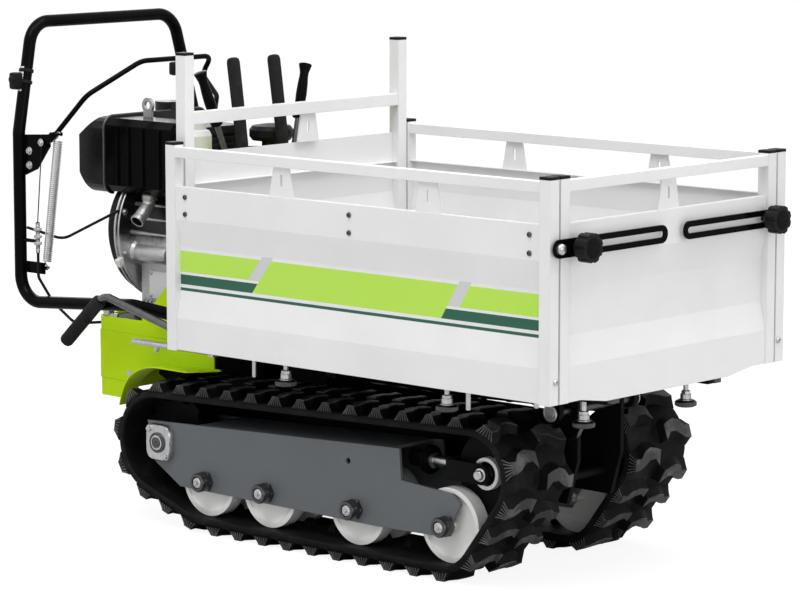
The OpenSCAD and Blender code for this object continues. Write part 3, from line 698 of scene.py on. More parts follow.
@dataclass
class Studio:
    """Camera of the photo, soft light and pale floor; sizes in metres."""

    eye: Point = (4.62265, -5.0128, 1.4466)
    yaw: float = 42.24
    pitch: float = 8.10
    focal_px: float = 3441.0
    width_px: float = 800.0
    sky: float = 0.68
    target: Point = (0.0, 0.0, 0.45)
    lamps: tuple[tuple[str, Point, float, float], ...] = (
        ("key", (0.6, -2.6, 4.8), 2.4, 100.0),
        ("front", (4.8, -0.8, 1.3), 1.6, 26.0),
        ("top", (1.4, 0.3, 4.2), 2.6, 84.0),
        ("rear", (-4.4, 2.4, 2.6), 2.6, 30.0),
    )
    floor_size: float = 60.0
    floor_tone: float = 0.58
    floor_glow: float = 1.25
    glow_share: float = 0.72

    def build(self) -> None:
        """Make camera, lamps, world and floor."""
        bpy.context.scene.view_settings.view_transform = "Standard"
        self.camera()
        for name, place, size, watts in self.lamps:
            data = bpy.data.lights.new(name, "AREA")
            data.size, data.energy = size, watts
            self.put(data, place, Vector(self.target) - Vector(place))
        self.world()
        self.floor()

    @staticmethod
    def put(data: bpy.types.ID, place: Point, ahead: Vector) -> bpy.types.Object:
        """Put a camera or a lamp into the scene.

        Args:
            data: Its data block.
            place: Position.
            ahead: Direction that it looks in.

        Returns:
            The object.
        """
        thing = bpy.data.objects.new(data.name, data)
        thing.location = place
        thing.rotation_mode = "QUATERNION"
        thing.rotation_quaternion = ahead.to_track_quat("-Z", "Y")
        bpy.context.scene.collection.objects.link(thing)
        return thing

    def camera(self) -> None:
        """Camera at the photo's view."""
        data = bpy.data.cameras.new("camera")
        data.sensor_width = 36.0
        data.lens = self.focal_px / self.width_px * data.sensor_width
        data.clip_end = self.floor_size
        a, p = math.radians(self.yaw), math.radians(self.pitch)
        ahead = Vector((-math.sin(a) * math.cos(p), math.cos(a) * math.cos(p), -math.sin(p)))
        bpy.context.scene.camera = self.put(data, self.eye, ahead)

    def world(self) -> None:
        """White for camera, mirror and glass rays, plain soft light for the rest."""
        world = bpy.data.worlds.new("studio_sky")
        bpy.context.scene.world = world
        shade = Shade(world)
        rays = shade.node("ShaderNodeLightPath").socket.node.outputs
        camera, mirror, glass = (
            Sock(shade, rays[f"Is {kind} Ray"]) for kind in ("Camera", "Glossy", "Transmission"))
        direct = shade.node("ShaderNodeMath", {"operation": "MINIMUM"}, {0: camera + mirror + glass, 1: 1.0})
        ground = shade.tree.nodes["Background"]
        shade.feed(ground.inputs["Color"], (1, 1, 1))
        shade.feed(ground.inputs["Strength"], self.sky + (1 - self.sky) * direct)

    def floor(self) -> None:
        """Pale floor that keeps a light shadow."""
        bpy.ops.mesh.primitive_plane_add(size=self.floor_size)
        plane = bpy.context.object
        plane.name = "studio_floor"
        shade = Shade(bpy.data.materials.new("pale_floor"))
        shade.set(Base_Color=(self.floor_tone,) * 3, Roughness=0.9)
        glow = shade.node("ShaderNodeEmission", None, {"Color": (1, 1, 1), "Strength": self.floor_glow})
        share = self.glow_share * shade.node("ShaderNodeLightPath", out="Is Camera Ray")
        matt = Sock(shade, shade.shader().outputs[0])
        mixed = shade.node("ShaderNodeMixShader", None, {0: share, 1: matt, 2: glow})
        shade.feed(shade.tree.nodes["Material Output"].inputs["Surface"], mixed)
        plane.data.materials.append(shade.owner)


@dataclass
class Trim:
    """A group of fine pieces for a workshop; sizes in mm."""

    shop: Workshop


@dataclass
class Track(Trim):
    """Rubber track of one side with belt, tread and guide horns."""

    side: int
    sprocket: Point = (-1105.0, -215.0, 92.0)
    idler: Point = (-262.0, -175.0, 78.0)
    end_rollers: tuple[Point, ...] = ((-979.0, -279.7, 72.0), (-333.0, -279.7, 72.0))
    middle: float = 182.0
    half: float = 90.0
    play: float = 0.3
    belt: float = 14.0
    lug: float = 17.6
    lug_root: float = 1.5
    lug_taper: Pair = (3.5, -3.0)
    lugs: int = 34
    phases: tuple[tuple[int, float], ...] = ((-1, 0.25), (1, 0.75))
    steps: int = 6
    plan: tuple[tuple[float, float, float, float], ...] = (
        (90.0, 0.0, 46.0, 18.0), (72.0, 0.0, 44.0, 16.0), (60.0, 7.0, 42.0, 22.0), (44.0, 13.0, 40.0, 18.0),
        (26.0, 12.0, 38.0, 15.0), (9.0, 5.0, 34.0, 22.0))
    horn_plan: tuple[Point, ...] = ((0.5, 22.0, 11.5), (-14.0, 14.0, 8.0), (-18.0, 10.0, 5.0))
    line: list[Pair] = field(default_factory=list)
    run: list[float] = field(default_factory=lambda: [0.0])

    def build(self) -> None:
        """Make the belt with its tread, and the horns."""
        self.lay_loop()
        belt, crowns, scuffs, horns = (bmesh.new() for _ in range(4))
        self.carcass(belt)
        for k in range(self.lugs):
            for hand, phase in self.phases:
                middle = (k + phase) / self.lugs
                self.lug_slab(belt, middle, hand, (0.0, 0.3, 0.62, 0.9))
                self.lug_slab(crowns, middle, hand, (0.9, 1.0))
                self.ribs(scuffs, middle, hand)
            self.horn(horns, (k + 0.5) / self.lugs)
        name = f"{side_name(self.side)}_track"
        self.shop.emit(f"{name}_rubber", belt, Look.RUBBER, sharp=40.0, replaces=name)
        self.shop.emit(f"{name}_crowns", crowns, Look.WORN_SHEEN, sharp=40.0, slot="track_rubber")
        self.shop.emit(f"{name}_scuffs", scuffs, Look.CROWN, sharp=40.0, slot="track_rubber")
        self.shop.emit(f"{name}_horns", horns, Look.RUBBER, sharp=30.0)

    def lay_loop(self) -> None:
        """Work out the closed line of the belt's inner face and its running length."""
        rounds = (self.sprocket, self.idler, *self.end_rollers)
        dots = sorted({
            (x + (r + self.play) * c, z + (r + self.play) * s)
            for x, z, r in rounds for c, s in (step(k, 720) for k in range(720))})
        for points in (dots, dots[::-1]):
            chain: list[Pair] = []
            for p in points:
                while len(chain) > 1 and self.turns_in(chain[-2], chain[-1], p):
                    chain.pop()
                chain.append(p)
            self.line += chain[:-1]
        for p, q in zip(self.line, self.line[1:] + self.line[:1]):
            self.run.append(self.run[-1] + math.dist(p, q))

    @staticmethod
    def turns_in(a: Pair, b: Pair, c: Pair) -> bool:
        """Whether the way a-b-c does not turn left."""
        return (b[0] - a[0]) * (c[1] - a[1]) - (b[1] - a[1]) * (c[0] - a[0]) <= 0

    def normal(self, i: int) -> Vector:
        """Find the outward direction at a point of the loop.

        Args:
            i: Number of the point.

        Returns:
            The direction in the plane of x and z.
        """
        n = len(self.line)
        p, q = self.line[(i - 1) % n], self.line[(i + 1) % n]
        return Vector((q[1] - p[1], -(q[0] - p[0]))).normalized()

    def spot(self, share: float, height: float, across: float) -> Vector:
        """Point on the loop.

        Args:
            share: Part of the way round.
            height: Distance outward from the inner face in mm.
            across: Distance from the track's middle toward the machine's outside in mm.

        Returns:
            The point in the row frame.
        """
        goal = (share % 1.0) * self.run[-1]
        low = min(bisect_right(self.run, goal), len(self.line)) - 1
        part = (goal - self.run[low]) / max(self.run[low + 1] - self.run[low], 1e-9)
        p, q = Vector(self.line[low]), Vector(self.line[(low + 1) % len(self.line)])
        out = self.normal(low).lerp(self.normal(low + 1), part).normalized()
        place = p.lerp(q, part) + out * height
        return at(place[0], self.side * (self.middle + across), place[1])

    def carcass(self, bm: BMesh) -> None:
        """Sweep the belt round the loop.

        Args:
            bm: Mesh to add to.
        """
        w, t = self.half, self.belt
        section = ((-w + 3, 0), (w - 3, 0), (w, 3), (w, t - 5), (w - 4, t), (12, t), (6, t - 3), (-6, t - 3),
                   (-12, t), (-w + 4, t), (-w, t - 5), (-w, 3))
        count = self.lugs * self.steps
        rings = [[bm.verts.new(self.spot(k / count, h, y)) for y, h in section] for k in range(count)]
        loft(bm, rings + rings[:1])

    def station(self, across: float, level: float) -> Pair:
        """Find the back and the front of a lug.

        Args:
            across: Distance from the track's middle in mm.
            level: Share of the lug's height.

        Returns:
            Both distances along the belt in mm.
        """
        for (y0, *low), (y1, *high) in zip(self.plan, self.plan[1:]):
            if y1 <= across <= y0:
                t = (y0 - across) / (y0 - y1)
                shift, base, crown = (p + (q - p) * t for p, q in zip(low, high))
                wide = crown + (base - crown) * (1 - level) ** 1.4
                return shift - wide / 2, shift + wide / 2
        raise ValueError(across)

    def rise(self, level: float) -> float:
        """Height above the belt's inner face of a share of the lug."""
        return self.belt - self.lug_root + (self.lug + self.lug_root) * level

    def lug_slab(self, bm: BMesh, middle: float, hand: int, levels: Sequence[float]) -> None:
        """Add a closed slice of one lug that runs from the belt's edge to its middle.

        Args:
            bm: Mesh to add to.
            middle: Place of its outer end on the loop.
            hand: 1 at the outer edge, -1 at the inner.
            levels: Shares of the lug's height.
        """
        tapers = {self.plan[0][0]: self.lug_taper[0], self.plan[-1][0]: self.lug_taper[1]}
        rings = []
        for across, *_ in self.plan:
            back, front = [], []
            for level in levels:
                inset = tapers.get(across, 0.0) * level
                for edge, found in zip(self.station(across, level), (back, front)):
                    share = middle + edge / self.run[-1]
                    found.append(bm.verts.new(self.spot(share, self.rise(level), hand * (across - inset))))
            rings.append(back + front[::-1])
        loft(bm, rings)

    def ribs(self, bm: BMesh, middle: float, hand: int) -> None:
        """Add fine ribs that fan down the end face of a lug.

        Args:
            bm: Mesh to add to.
            middle: Place of the lug's outer end.
            hand: 1 at the outer edge, -1 at the inner.
        """
        for share in (0.1, 0.26, 0.42, 0.58, 0.74, 0.9):
            line = []
            for level in (0.12, 0.5, 0.88):
                back, front = self.station(self.half, level)
                place = middle + (back + (front - back) * share) / self.run[-1]
                across = hand * (self.half - self.lug_taper[0] * level)
                line.append(self.spot(place, self.rise(level), across))
            sweep(bm, line, 1.1, 5)

    def horn(self, bm: BMesh, middle: float) -> None:
        """Add a guide horn inside the belt.

        Args:
            bm: Mesh to add to.
            middle: Place on the loop.
        """
        corners = ((-1, -1), (1, -1), (1, 1), (-1, 1))
        rings = []
        for level, wide, deep in self.horn_plan:
            half = wide / 2 / self.run[-1]
            rings.append([bm.verts.new(self.spot(middle + s * half, level, y * deep)) for s, y in corners])
        loft(bm, rings)


@dataclass
class BoxTrim(Trim):
    """Caps, screws and bolts of the load box."""

    post: float = 25.0
    post_h: float = 410.0
    head_h: float = 583.0
    length: float = 980.0
    half: float = 353.0
    gate_half: float = 323.0
    cap_h: float = 4.0
    cap_rise: float = 1.5
    cap_play: float = 0.3
    screw_x: Point = (-930.0, -491.5, -51.0)
    screw_z: Pair = (305.5, 272.0)
    screw_inset: float = 4.0
    bolt_inset: float = 17.0
    bolt_z: float = 42.0

    def build(self) -> None:
        """Make the trim of every panel."""
        front, rear = -self.post / 2, -self.length + self.post / 2
        outer, inner = self.half - self.post / 2, self.gate_half - self.post / 2
        for side in SIDES:
            name, body = f"{side_name(side)}_side", f"{side_name(side)}_side_panel"
            self.caps(f"{name}_caps", body, [(x, side * outer) for x in (front, rear)], self.post_h)
            screws, bolts = bmesh.new(), bmesh.new()
            for x in self.screw_x:
                for z in self.screw_z:
                    seat = at(x, side * (self.half - self.screw_inset), z)
                    cap_screw(screws, seat, side * Y_AXIS, 5.2, 3.4)
            self.shop.emit(f"{name}_screws", screws, Look.DARK_STEEL, body)
            cap_screw(bolts, at(0, side * (self.half - self.bolt_inset), self.bolt_z), X_AXIS, 6.5, 4.5)
            self.shop.emit(f"{side_name(side)}_post_bolts", bolts, Look.ZINC, body)
        self.caps("gate_caps", "gate", [(front, s * inner) for s in SIDES], self.post_h)
        self.caps("headboard_caps", "bed", [(rear, s * inner) for s in SIDES], self.head_h)

    def caps(self, name: str, body: str, posts: Sequence[Pair], top: float) -> None:
        """Moulded plugs on post tops.

        Args:
            name: Name of the piece.
            body: CAD body.
            posts: Middles of the posts.
            top: Height of the posts.
        """
        bm = bmesh.new()
        r = self.post / 2 + self.cap_play
        for x, y in posts:
            block(bm, at(x - r, y - r, top - self.cap_h), at(x + r, y + r, top + self.cap_rise), 0.3)
        self.shop.emit(name, bm, Look.PLASTIC, body)


@dataclass
class Clamps(Trim):
    """Link bolts, knob collars, clamp wheels under the floor, latch hook and hinge washers."""

    link: Point = (16.4, 335.5, 283.0)
    link_washer: Profile = ((0, 0), (13, 0), (13, 2), (0, 2))
    link_dome: Profile = ((10, 0), (10, 4), (9.2, 6.4), (6.6, 8.6), (3, 9.6), (0, 9.8))
    knob_collar: Profile = ((0, 0), (16, 0), (16, 3), (14.6, 4.2), (14.6, 14), (0, 14))
    knob_plug: Profile = ((19, -0.4), (19, 0.5), (16, 0.9), (0, 0.9))
    knob_y: float = 285.0
    collar_x: float = 10.0
    plug_x: float = 44.5
    studs: tuple[Point, ...] = ((-697.5, 308.0, 6.5), (-282.5, 308.0, 6.5), (-82.0, 154.0, -20.5))
    stud_h: float = 54.5
    knurls: int = 40
    wheel: Profile = ((0, 1), (16, 1), (20.4, 3), (20.4, 11), (17.5, 13.4), (13, 14), (0, 14))
    collar: Profile = ((0, 0), (13, 0), (13, 2), (10.6, 3), (10.6, 12), (0, 12))
    nut: Profile = ((0, 0), (9.4, 0), (9.4, 6), (8.4, 7), (0, 7))
    stem: Profile = ((0, 0), (5, 0), (5, 24.5), (0, 24.5))
    pins: tuple[Point, ...] = ((-762.0, 329.0, 34.0), (-212.0, 329.0, 34.0))
    pin: Profile = ((0, 0), (7.5, 0), (7.5, 4), (4.6, 5), (4.6, 66), (3.6, 68), (0, 68.4))
    corner: Point = (-46.0, 333.0, 33.8)
    corner_pin: Profile = ((5, 0), (5, 38), (4, 40), (0, 40))
    corner_pin_z: float = 30.0
    hook: tuple[Point, ...] = ((-147, -81, 34.2), (-147, -81, -92), (-156, -81, -108), (-176, -81, -116))
    hinge: Point = (-187.0, 124.1, -64.0)
    hinge_face: Profile = (
        (0, 0), (16.5, 0), (16.5, 2), (15, 3), (12.6, 3), (12, 2.2), (10, 2.2), (9.4, 3.6), (0, 4))

    def build(self) -> None:
        """Make all clamp pieces."""
        self.gate_clamps()
        rims, collars, hook, hinges = (bmesh.new() for _ in range(4))
        for x, y, z in self.studs:
            for side in SIDES:
                self.clamp_wheel(rims, collars, at(x, side * y, z - self.stud_h))
        for side in SIDES:
            for x, y, z in self.pins:
                lathe(collars, at(x, side * y, z), -Z_AXIS, self.pin, 20)
            x, y, z = self.corner
            hex_bolt(collars, at(x, side * y, z), -Z_AXIS, 8.0, 9.0)
            lathe(collars, at(x, side * y, self.corner_pin_z), -Z_AXIS, self.corner_pin, 16)
            x, y, z = self.hinge
            lathe(hinges, at(x, side * y, z), side * Y_AXIS, self.hinge_face, 36)
        sweep(hook, bend(self.hook, 14), 5.0, 16)
        self.shop.emit("clamp_wheels", rims, Look.DARK_STEEL, "bed", replaces="bed_knobs")
        self.shop.emit("clamp_collars", collars, Look.ZINC, "bed")
        self.shop.emit("latch_hook", hook, Look.DARK_CHROME, "bed", slot="dark_steel")
        self.shop.emit("hinge_washers", hinges, Look.ALLOY)

    def gate_clamps(self) -> None:
        """Domed link bolts, and the collars and plugs of the gate knobs."""
        x, y, z = self.link
        collars, plugs = bmesh.new(), bmesh.new()
        for side in SIDES:
            bm = bmesh.new()
            lathe(bm, at(x - 9, side * y, z), X_AXIS, self.link_washer, 28)
            lathe(bm, at(x - 7, side * y, z), X_AXIS, self.link_dome, 28)
            self.shop.emit(f"{side_name(side)}_link_bolt", bm, Look.ZINC, f"{side_name(side)}_link_arm")
            lathe(collars, at(self.collar_x, side * self.knob_y, z), X_AXIS, self.knob_collar, 28)
            lathe(plugs, at(self.plug_x, side * self.knob_y, z), X_AXIS, self.knob_plug, 28)
        self.shop.emit("gate_knob_collars", collars, Look.DARK_STEEL, "gate")
        self.shop.emit("gate_knob_plugs", plugs, Look.FRAME_BLACK, "gate", slot="black_plastic")

    def clamp_wheel(self, rims: BMesh, collars: BMesh, base: Vector) -> None:
        """Knurled wheel with its collar, nut and stem.

        Args:
            rims: Mesh of the wheels.
            collars: Mesh of bright steel.
            base: Lowest point of the wheel's axis.
        """
        lathe(rims, base, Z_AXIS, self.wheel, self.knurls)
        for k in range(self.knurls):
            out = Vector((*step(k, self.knurls), 0))
            sweep(rims, [base + out * 0.0203 + h * Z_AXIS for h in (0.0036, 0.0104)], 0.9, 6)
        for height, shape, sides in ((13.5, self.collar, 28), (25.2, self.nut, 6), (30.0, self.stem, 16)):
            lathe(collars, base + height * MM * Z_AXIS, Z_AXIS, shape, sides)


@dataclass
class Undercarriage(Trim):
    """Tensioner, bearing, roller nuts and wheel faces of one side."""

    side: int
    sprocket: Pair = (-1105.0, -215.0)
    idler: Pair = (-262.0, -175.0)
    rollers: tuple[float, ...] = (-979.0, -808.0, -570.0, -333.0)
    roller_z: float = -279.7
    plate: float = 250.0
    face_y: float = 229.0
    face: Profile = ((0, -3), (61.8, 6), (61.8, 11.4), (60.2, 9.6), (54, 6.4), (44, 4.2), (30, 3.2), (0, 3))
    cheeks: tuple[Pair, ...] = ((129.0, 138.0), (226.0, 235.0))
    cheek_x: float = -348.0
    yoke_end: tuple[float, ...] = (-352.0, -338.0, 130.0, 234.0)
    yoke_half: float = 20.0
    middle: float = 182.0
    socket_x: float = -478.0
    rod_x: float = -430.0
    inner_bolt_y: float = 119.8
    eye: Profile = ((0, 0), (17, 0), (18, 1), (18, 8), (17, 9), (0, 9))
    socket: Profile = (
        (0, 0), (17, 0), (17, 38), (26, 38), (29, 40), (29, 45), (24, 47), (24, 50), (0, 50))
    rod: Profile = ((0, 0), (16, 0), (16, 7), (11.5, 8.5), (11.5, 79), (0, 79))
    flange: Pair = (35.0, 37.5)
    flange_steps: tuple[Pair, ...] = ((1.0, 0.4), (1.0, 9.0), (0.94, 12.6), (0.62, 13.0))
    flange_bolt: Point = (24.0, 12.4, 26.0)
    race_y: float = 12.8
    outer_race: Profile = ((21, 0), (21, 3.0), (17.4, 3.6), (16.8, 1.4), (0, 1.4))
    inner_race: Profile = ((15.4, 1), (15.4, 4.2), (12.2, 4.6), (11.8, 2.2), (0, 2.2))
    shaft_end: Profile = ((10.4, 2), (10.4, 4.6), (9, 5.4), (3, 5.4), (2, 3.6), (0, 3.6))
    nut_y: float = 0.3
    nut_foot: Profile = ((21, 0), (21, 5), (19, 6), (19, 8))
    nut_sleeve: Profile = ((19.4, 5), (19.4, 24), (17.6, 27), (12.4, 27.2), (11.6, 22), (0, 22))
    nipple: Profile = (
        (11, 21.5), (11, 25), (8.4, 26.8), (4.4, 27), (3.6, 29.6), (1.6, 30.2), (0, 30.2))
    grub: Profile = ((0, -2), (3.4, -2), (3.4, 1.6), (2.2, 2.2), (0, 2.2))
    grub_r: float = 19.0
    grub_y: float = 15.0
    idler_bolt: Profile = (
        (0, 0), (13, 0), (13, 3), (12, 3.8), (9.8, 4), (9.8, 10), (8, 12), (0, 12.4))
    idler_nut: Profile = ((0, 0), (17, 0), (17, 8), (15, 10.5), (0, 10.5))
    idler_cap: Profile = ((0, 0), (18, 0), (18, 3), (14, 4), (14, 9), (10, 13), (4, 15), (0, 15.4))
    idler_ring: Profile = (
        (23, 0), (31, 0), (31, 14), (29.4, 15.2), (24.6, 15.2), (23, 14), (23, 0))
    bright: BMesh = field(default_factory=bmesh.new)
    dark: BMesh = field(default_factory=bmesh.new)
    pale: BMesh = field(default_factory=bmesh.new)

    def build(self) -> None:
        """Make the side's fittings."""
        name = side_name(self.side)
        self.bearing()
        for x in self.rollers:
            self.roller_nut(x)
        self.idler_end()
        self.tensioner(name)
        for x in self.rollers:
            self.turned(self.pale, (x, self.face_y, self.roller_z), self.face, 48)
            seat = self.spot(x, self.inner_bolt_y, self.roller_z)
            hex_bolt(self.bright, seat, -self.side * Y_AXIS, 12.0, 15.0)
        self.shop.emit(f"{name}_bright_fittings", self.bright, Look.ZINC)
        self.shop.emit(f"{name}_dark_fittings", self.dark, Look.DARK_STEEL)
        self.shop.emit(f"{name}_wheel_faces", self.pale, Look.CREAM)

    def spot(self, x: float, y: float, z: float) -> Vector:
        """Point at a distance y from the machine's middle."""
        return at(x, self.side * y, z)

    def turned(self, bm: BMesh, place: Point, profile: Profile, sides: int, inward: bool = False) -> None:
        """Turned piece on an axis across the machine.

        Args:
            bm: Mesh to add to.
            place: Origin of the profile, with y from the machine's middle.
            profile: Pairs of radius and height.
            sides: Steps round the axis.
            inward: Whether its height grows toward the middle.
        """
        lathe(bm, self.spot(*place), (-self.side if inward else self.side) * Y_AXIS, profile, sides)

    def tensioner(self, name: str) -> None:
        """Yoke, washer and bright rod that push the idler forward.

        Args:
            name: Side's name.
        """
        x, z = self.idler
        yoke, rod = bmesh.new(), bmesh.new()
        arms = [(self.cheek_x, x + 1, *cheek) for cheek in self.cheeks] + [self.yoke_end]
        for back, front, *reach in arms:
            low, high = sorted(self.side * y for y in reach)
            block(yoke, at(back, low, z - self.yoke_half), at(front, high, z + self.yoke_half), 2.0)
        for inner, _ in self.cheeks:
            self.turned(yoke, (x, inner, z), self.eye, 32)
        lathe(yoke, self.spot(self.socket_x, self.middle, z), X_AXIS, self.socket, 36)
        lathe(rod, self.spot(self.rod_x, self.middle, z), X_AXIS, self.rod, 32)
        self.shop.emit(f"{name}_yoke", yoke, Look.FRAME_BLACK, replaces=f"{name}_tensioner")
        self.shop.emit(f"{name}_push_rod", rod, Look.ZINC)

    def bearing(self) -> None:
        """Two-bolt flange bearing of the sprocket shaft."""
        x, z = self.sprocket
        wide, high = self.flange
        outline = []
        for c, s in (step(k, 56) for k in range(56)):
            r = (abs(c / wide) ** 4 + abs(s / high) ** 4) ** -0.25
            outline.append((r * c, r * s))
        rings = []
        for grow, depth in self.flange_steps:
            spots = (self.spot(x + u * grow, self.plate + depth, z + v * grow) for u, v in outline)
            rings.append([self.bright.verts.new(spot) for spot in spots])
        loft(self.bright, rings)
        dx, dy, dz = self.flange_bolt
        for s in SIDES:
            seat = self.spot(x - s * dx, self.plate + dy, z + s * dz)
            hex_bolt(self.bright, seat, self.side * Y_AXIS, 6.5, 8.0)
        seat = (x, self.plate + self.race_y, z)
        self.turned(self.dark, seat, self.outer_race, 36)
        self.turned(self.bright, seat, self.inner_race, 36)
        self.turned(self.dark, seat, self.shaft_end, 28)

    def roller_nut(self, x: float) -> None:
        """Sleeve nut with a grease fitting on a roller bolt.

        Args:
            x: Roller's place.
        """
        seat = (x, self.plate + self.nut_y, self.roller_z)
        self.turned(self.dark, seat, self.nut_foot, 6)
        self.turned(self.dark, seat, self.nut_sleeve, 32)
        self.turned(self.bright, seat, self.nipple, 6)
        for c, s in (step(k + 0.15, 3) for k in range(3)):
            place = self.spot(x + self.grub_r * c, self.plate + self.grub_y, self.roller_z + self.grub_r * s)
            lathe(self.dark, place, Vector((c, 0, s)), self.grub, 10)

    def idler_end(self) -> None:
        """Idler bolt, its nut and the pale rings of the idler."""
        x, z = self.idler
        self.turned(self.bright, (x, 235.2, z), self.idler_bolt, 28)
        self.turned(self.dark, (x, 215.2, z), self.idler_nut, 6)
        self.turned(self.bright, (x, 128.8, z), self.idler_cap, 28, True)
        for y, inward in ((207.4, False), (156.6, True)):
            self.turned(self.pale, (x, y, z), self.idler_ring, 40, inward)


@dataclass
class Controls(Trim):
    """Levers, spring, cable adjuster and handlebar fittings."""

    foam: Profile = (
        (0, 0), (9, 0), (11.6, 2), (12.4, 8), (13, 60), (13.6, 150), (13.6, 176), (12, 183), (7, 186),
        (0, 186.6))
    flared: Profile = (
        (0, 0), (9, 0), (12, 2), (12.6, 8), (10.4, 14), (10.6, 30), (11.4, 52), (10.6, 74), (9.2, 90),
        (9.4, 98), (12, 108), (13.6, 113), (13.2, 116), (8, 117.6), (0, 118))
    boot: Profile = ((0, 0), (9.6, 0), (10, 2), (8.6, 5), (9.2, 8), (7.6, 11), (6, 12))
    foot_z: float = 330.2
    spring_low: Pair = (-1460.0, 108.0)
    spring_high: Pair = (-1417.0, 390.0)
    spring_y: float = -238.0
    spring_r: float = 8.8
    spring_wire: float = 1.25
    spring_inset: float = 13.0
    hook_r: float = 4.6
    turns: int = 60
    turn_steps: int = 12
    bail: tuple[Point, ...] = (
        (-1445, -262, 373), (-1445, -237, 373), (-1362, -209, 472), (-1309, -103, 540), (-1309, 101, 540),
        (-1338, 101, 500), (-1384, 190, 446), (-1445, 237, 373), (-1445, 262, 373))
    crank: tuple[Pair, ...] = ((-1455, 368), (-1440, 363), (-1410, 383), (-1411, 397), (-1446, 384))
    crank_y: Pair = (-258.0, -254.0)
    leg: tuple[Point, Point] = ((-1520, 256, 390), (-1533, 203, 616))
    switch_x: float = -1528.0
    switch_z: float = 496.0
    adjuster: Pair = (-1463.5, -258.0)
    nuts_z: Point = (158.0, 172.0, 188.0)
    nut: Profile = ((4.3, 0), (8.2, 0), (8.6, 1), (8.6, 5), (8.2, 6), (4.3, 6))
    threads: int = 22
    thread_z: float = 142.0
    pitch: float = 2.8
    thread: Profile = ((4.2, 0), (4.9, 0.9), (4.2, 1.8))
    bracket_bolts: tuple[tuple[float, ...], ...] = (
        (-1492.0, 252.2, 352.0, 7.0, 8.5), (-1492.0, 252.2, 322.0, 7.0, 8.5),
        (-1445.0, 262.2, 373.0, 6.0, 8.0))
    spring_pin: Profile = (
        (0, 0), (6, 0), (6, 2), (3, 2), (3, 28), (4.4, 28.4), (4.4, 30), (0, 30))
    clip: Profile = ((13.1, 0), (15.6, 0.8), (15.6, 7.2), (13.1, 8))
    button: Profile = ((0, -2), (8, -2), (8, 2.5), (6, 4), (0, 4.4))
    housings: tuple[tuple[int, float, Point], ...] = ((-1, -255.0, (11, 11, 18)), (1, 206.0, (10, 12, 15)))
    label_section: tuple[Pair, ...] = ((84, 12.9), (136, 12.9), (136, 13.6), (84, 13.6))

    def build(self) -> None:
        """Make levers, spring and small fittings."""
        self.levers()
        self.spring()
        self.fittings()
        self.label()
        self.clutch_bail()
        self.switches()

    def levers(self) -> None:
        """Foam levers in the middle and flared levers outside."""
        foam, flared, rods = bmesh.new(), bmesh.new(), bmesh.new()
        plan = [(-1060, y, -33, 0, 225, foam, self.foam) for y in (-52, 66)]
        plan += [(-1063, s * 88, -22, s * 66, 202, flared, self.flared) for s in SIDES]
        for x, y, lean_x, lean_y, rise, mesh, shape in plan:
            foot, top = at(x, y, self.foot_z), at(x + lean_x, y + lean_y, self.foot_z + rise)
            ahead = (top - foot).normalized()
            start = top - ahead * shape[-1][1] * MM
            lathe(mesh, start, ahead, shape, 28)
            sweep(rods, [foot, start + ahead * 0.004], 6.0, 16)
            lathe(flared, foot, ahead, self.boot, 24)
        self.shop.emit("foam_levers", foam, Look.FOAM, replaces="levers")
        self.shop.emit("flared_levers", flared, Look.GLOSS_BLACK)
        self.shop.emit("lever_rods", rods, Look.DARK_STEEL)

    def spring(self) -> None:
        """Close-wound spring with hooked ends."""
        low, high = (at(x, self.spring_y, z) for x, z in (self.spring_low, self.spring_high))
        ahead = (high - low).normalized()
        other = ahead.cross(Y_AXIS)
        start = low + ahead * self.spring_inset * MM
        span = high - low - 2 * ahead * self.spring_inset * MM
        bow = [0.35 * k for k in range(13)]
        count = self.turns * self.turn_steps
        path = [low + self.hook_r * MM * (math.cos(a - 4.4) * ahead + math.sin(a - 4.4) * other) for a in bow]
        for k in range(count + 1):
            c, s = step(k, self.turn_steps)
            path.append(start + span * (k / count) + self.spring_r * MM * (c * other + s * Y_AXIS))
        path += [high + self.hook_r * MM * (math.sin(a) * other - math.cos(a) * ahead) for a in bow]
        bm = bmesh.new()
        sweep(bm, path, self.spring_wire, 6)
        self.shop.emit("coil_spring", bm, Look.ZINC, sharp=60.0, replaces="bail_spring")

    def fittings(self) -> None:
        """Adjuster nuts on their thread and the bolts of the brackets."""
        bm = bmesh.new()
        for z in self.nuts_z:
            lathe(bm, at(*self.adjuster, z), Z_AXIS, self.nut, 6)
        for k in range(self.threads):
            lathe(bm, at(*self.adjuster, self.thread_z + self.pitch * k), Z_AXIS, self.thread, 14)
        for side in SIDES:
            for x, y, z, size, washer in self.bracket_bolts:
                hex_bolt(bm, at(x, side * y, z), side * Y_AXIS, size, washer)
        self.shop.emit("handlebar_fittings", bm, Look.ZINC)

    def leg_ends(self, side: int) -> tuple[Vector, Vector]:
        """Lower and upper end of a handlebar leg in local mm."""
        return tuple(Vector((x, side * y, z)) for x, y, z in self.leg)

    def label(self) -> None:
        """Blank label bent round the near leg."""
        low, high = (at(*end) for end in self.leg_ends(-1))
        ahead = (high - low).normalized()
        out = (-Y_AXIS - ahead * ahead.dot(-Y_AXIS)).normalized()
        bm = bmesh.new()
        rings = []
        for k in range(6):
            around = Matrix.Rotation(math.radians(8 * k - 14), 3, ahead) @ out
            rings.append([bm.verts.new(low + ahead * (up * MM) + around * (r * MM))
                          for up, r in self.label_section])
        loft(bm, rings)
        self.shop.emit("blank_label", bm, Look.WHITE)

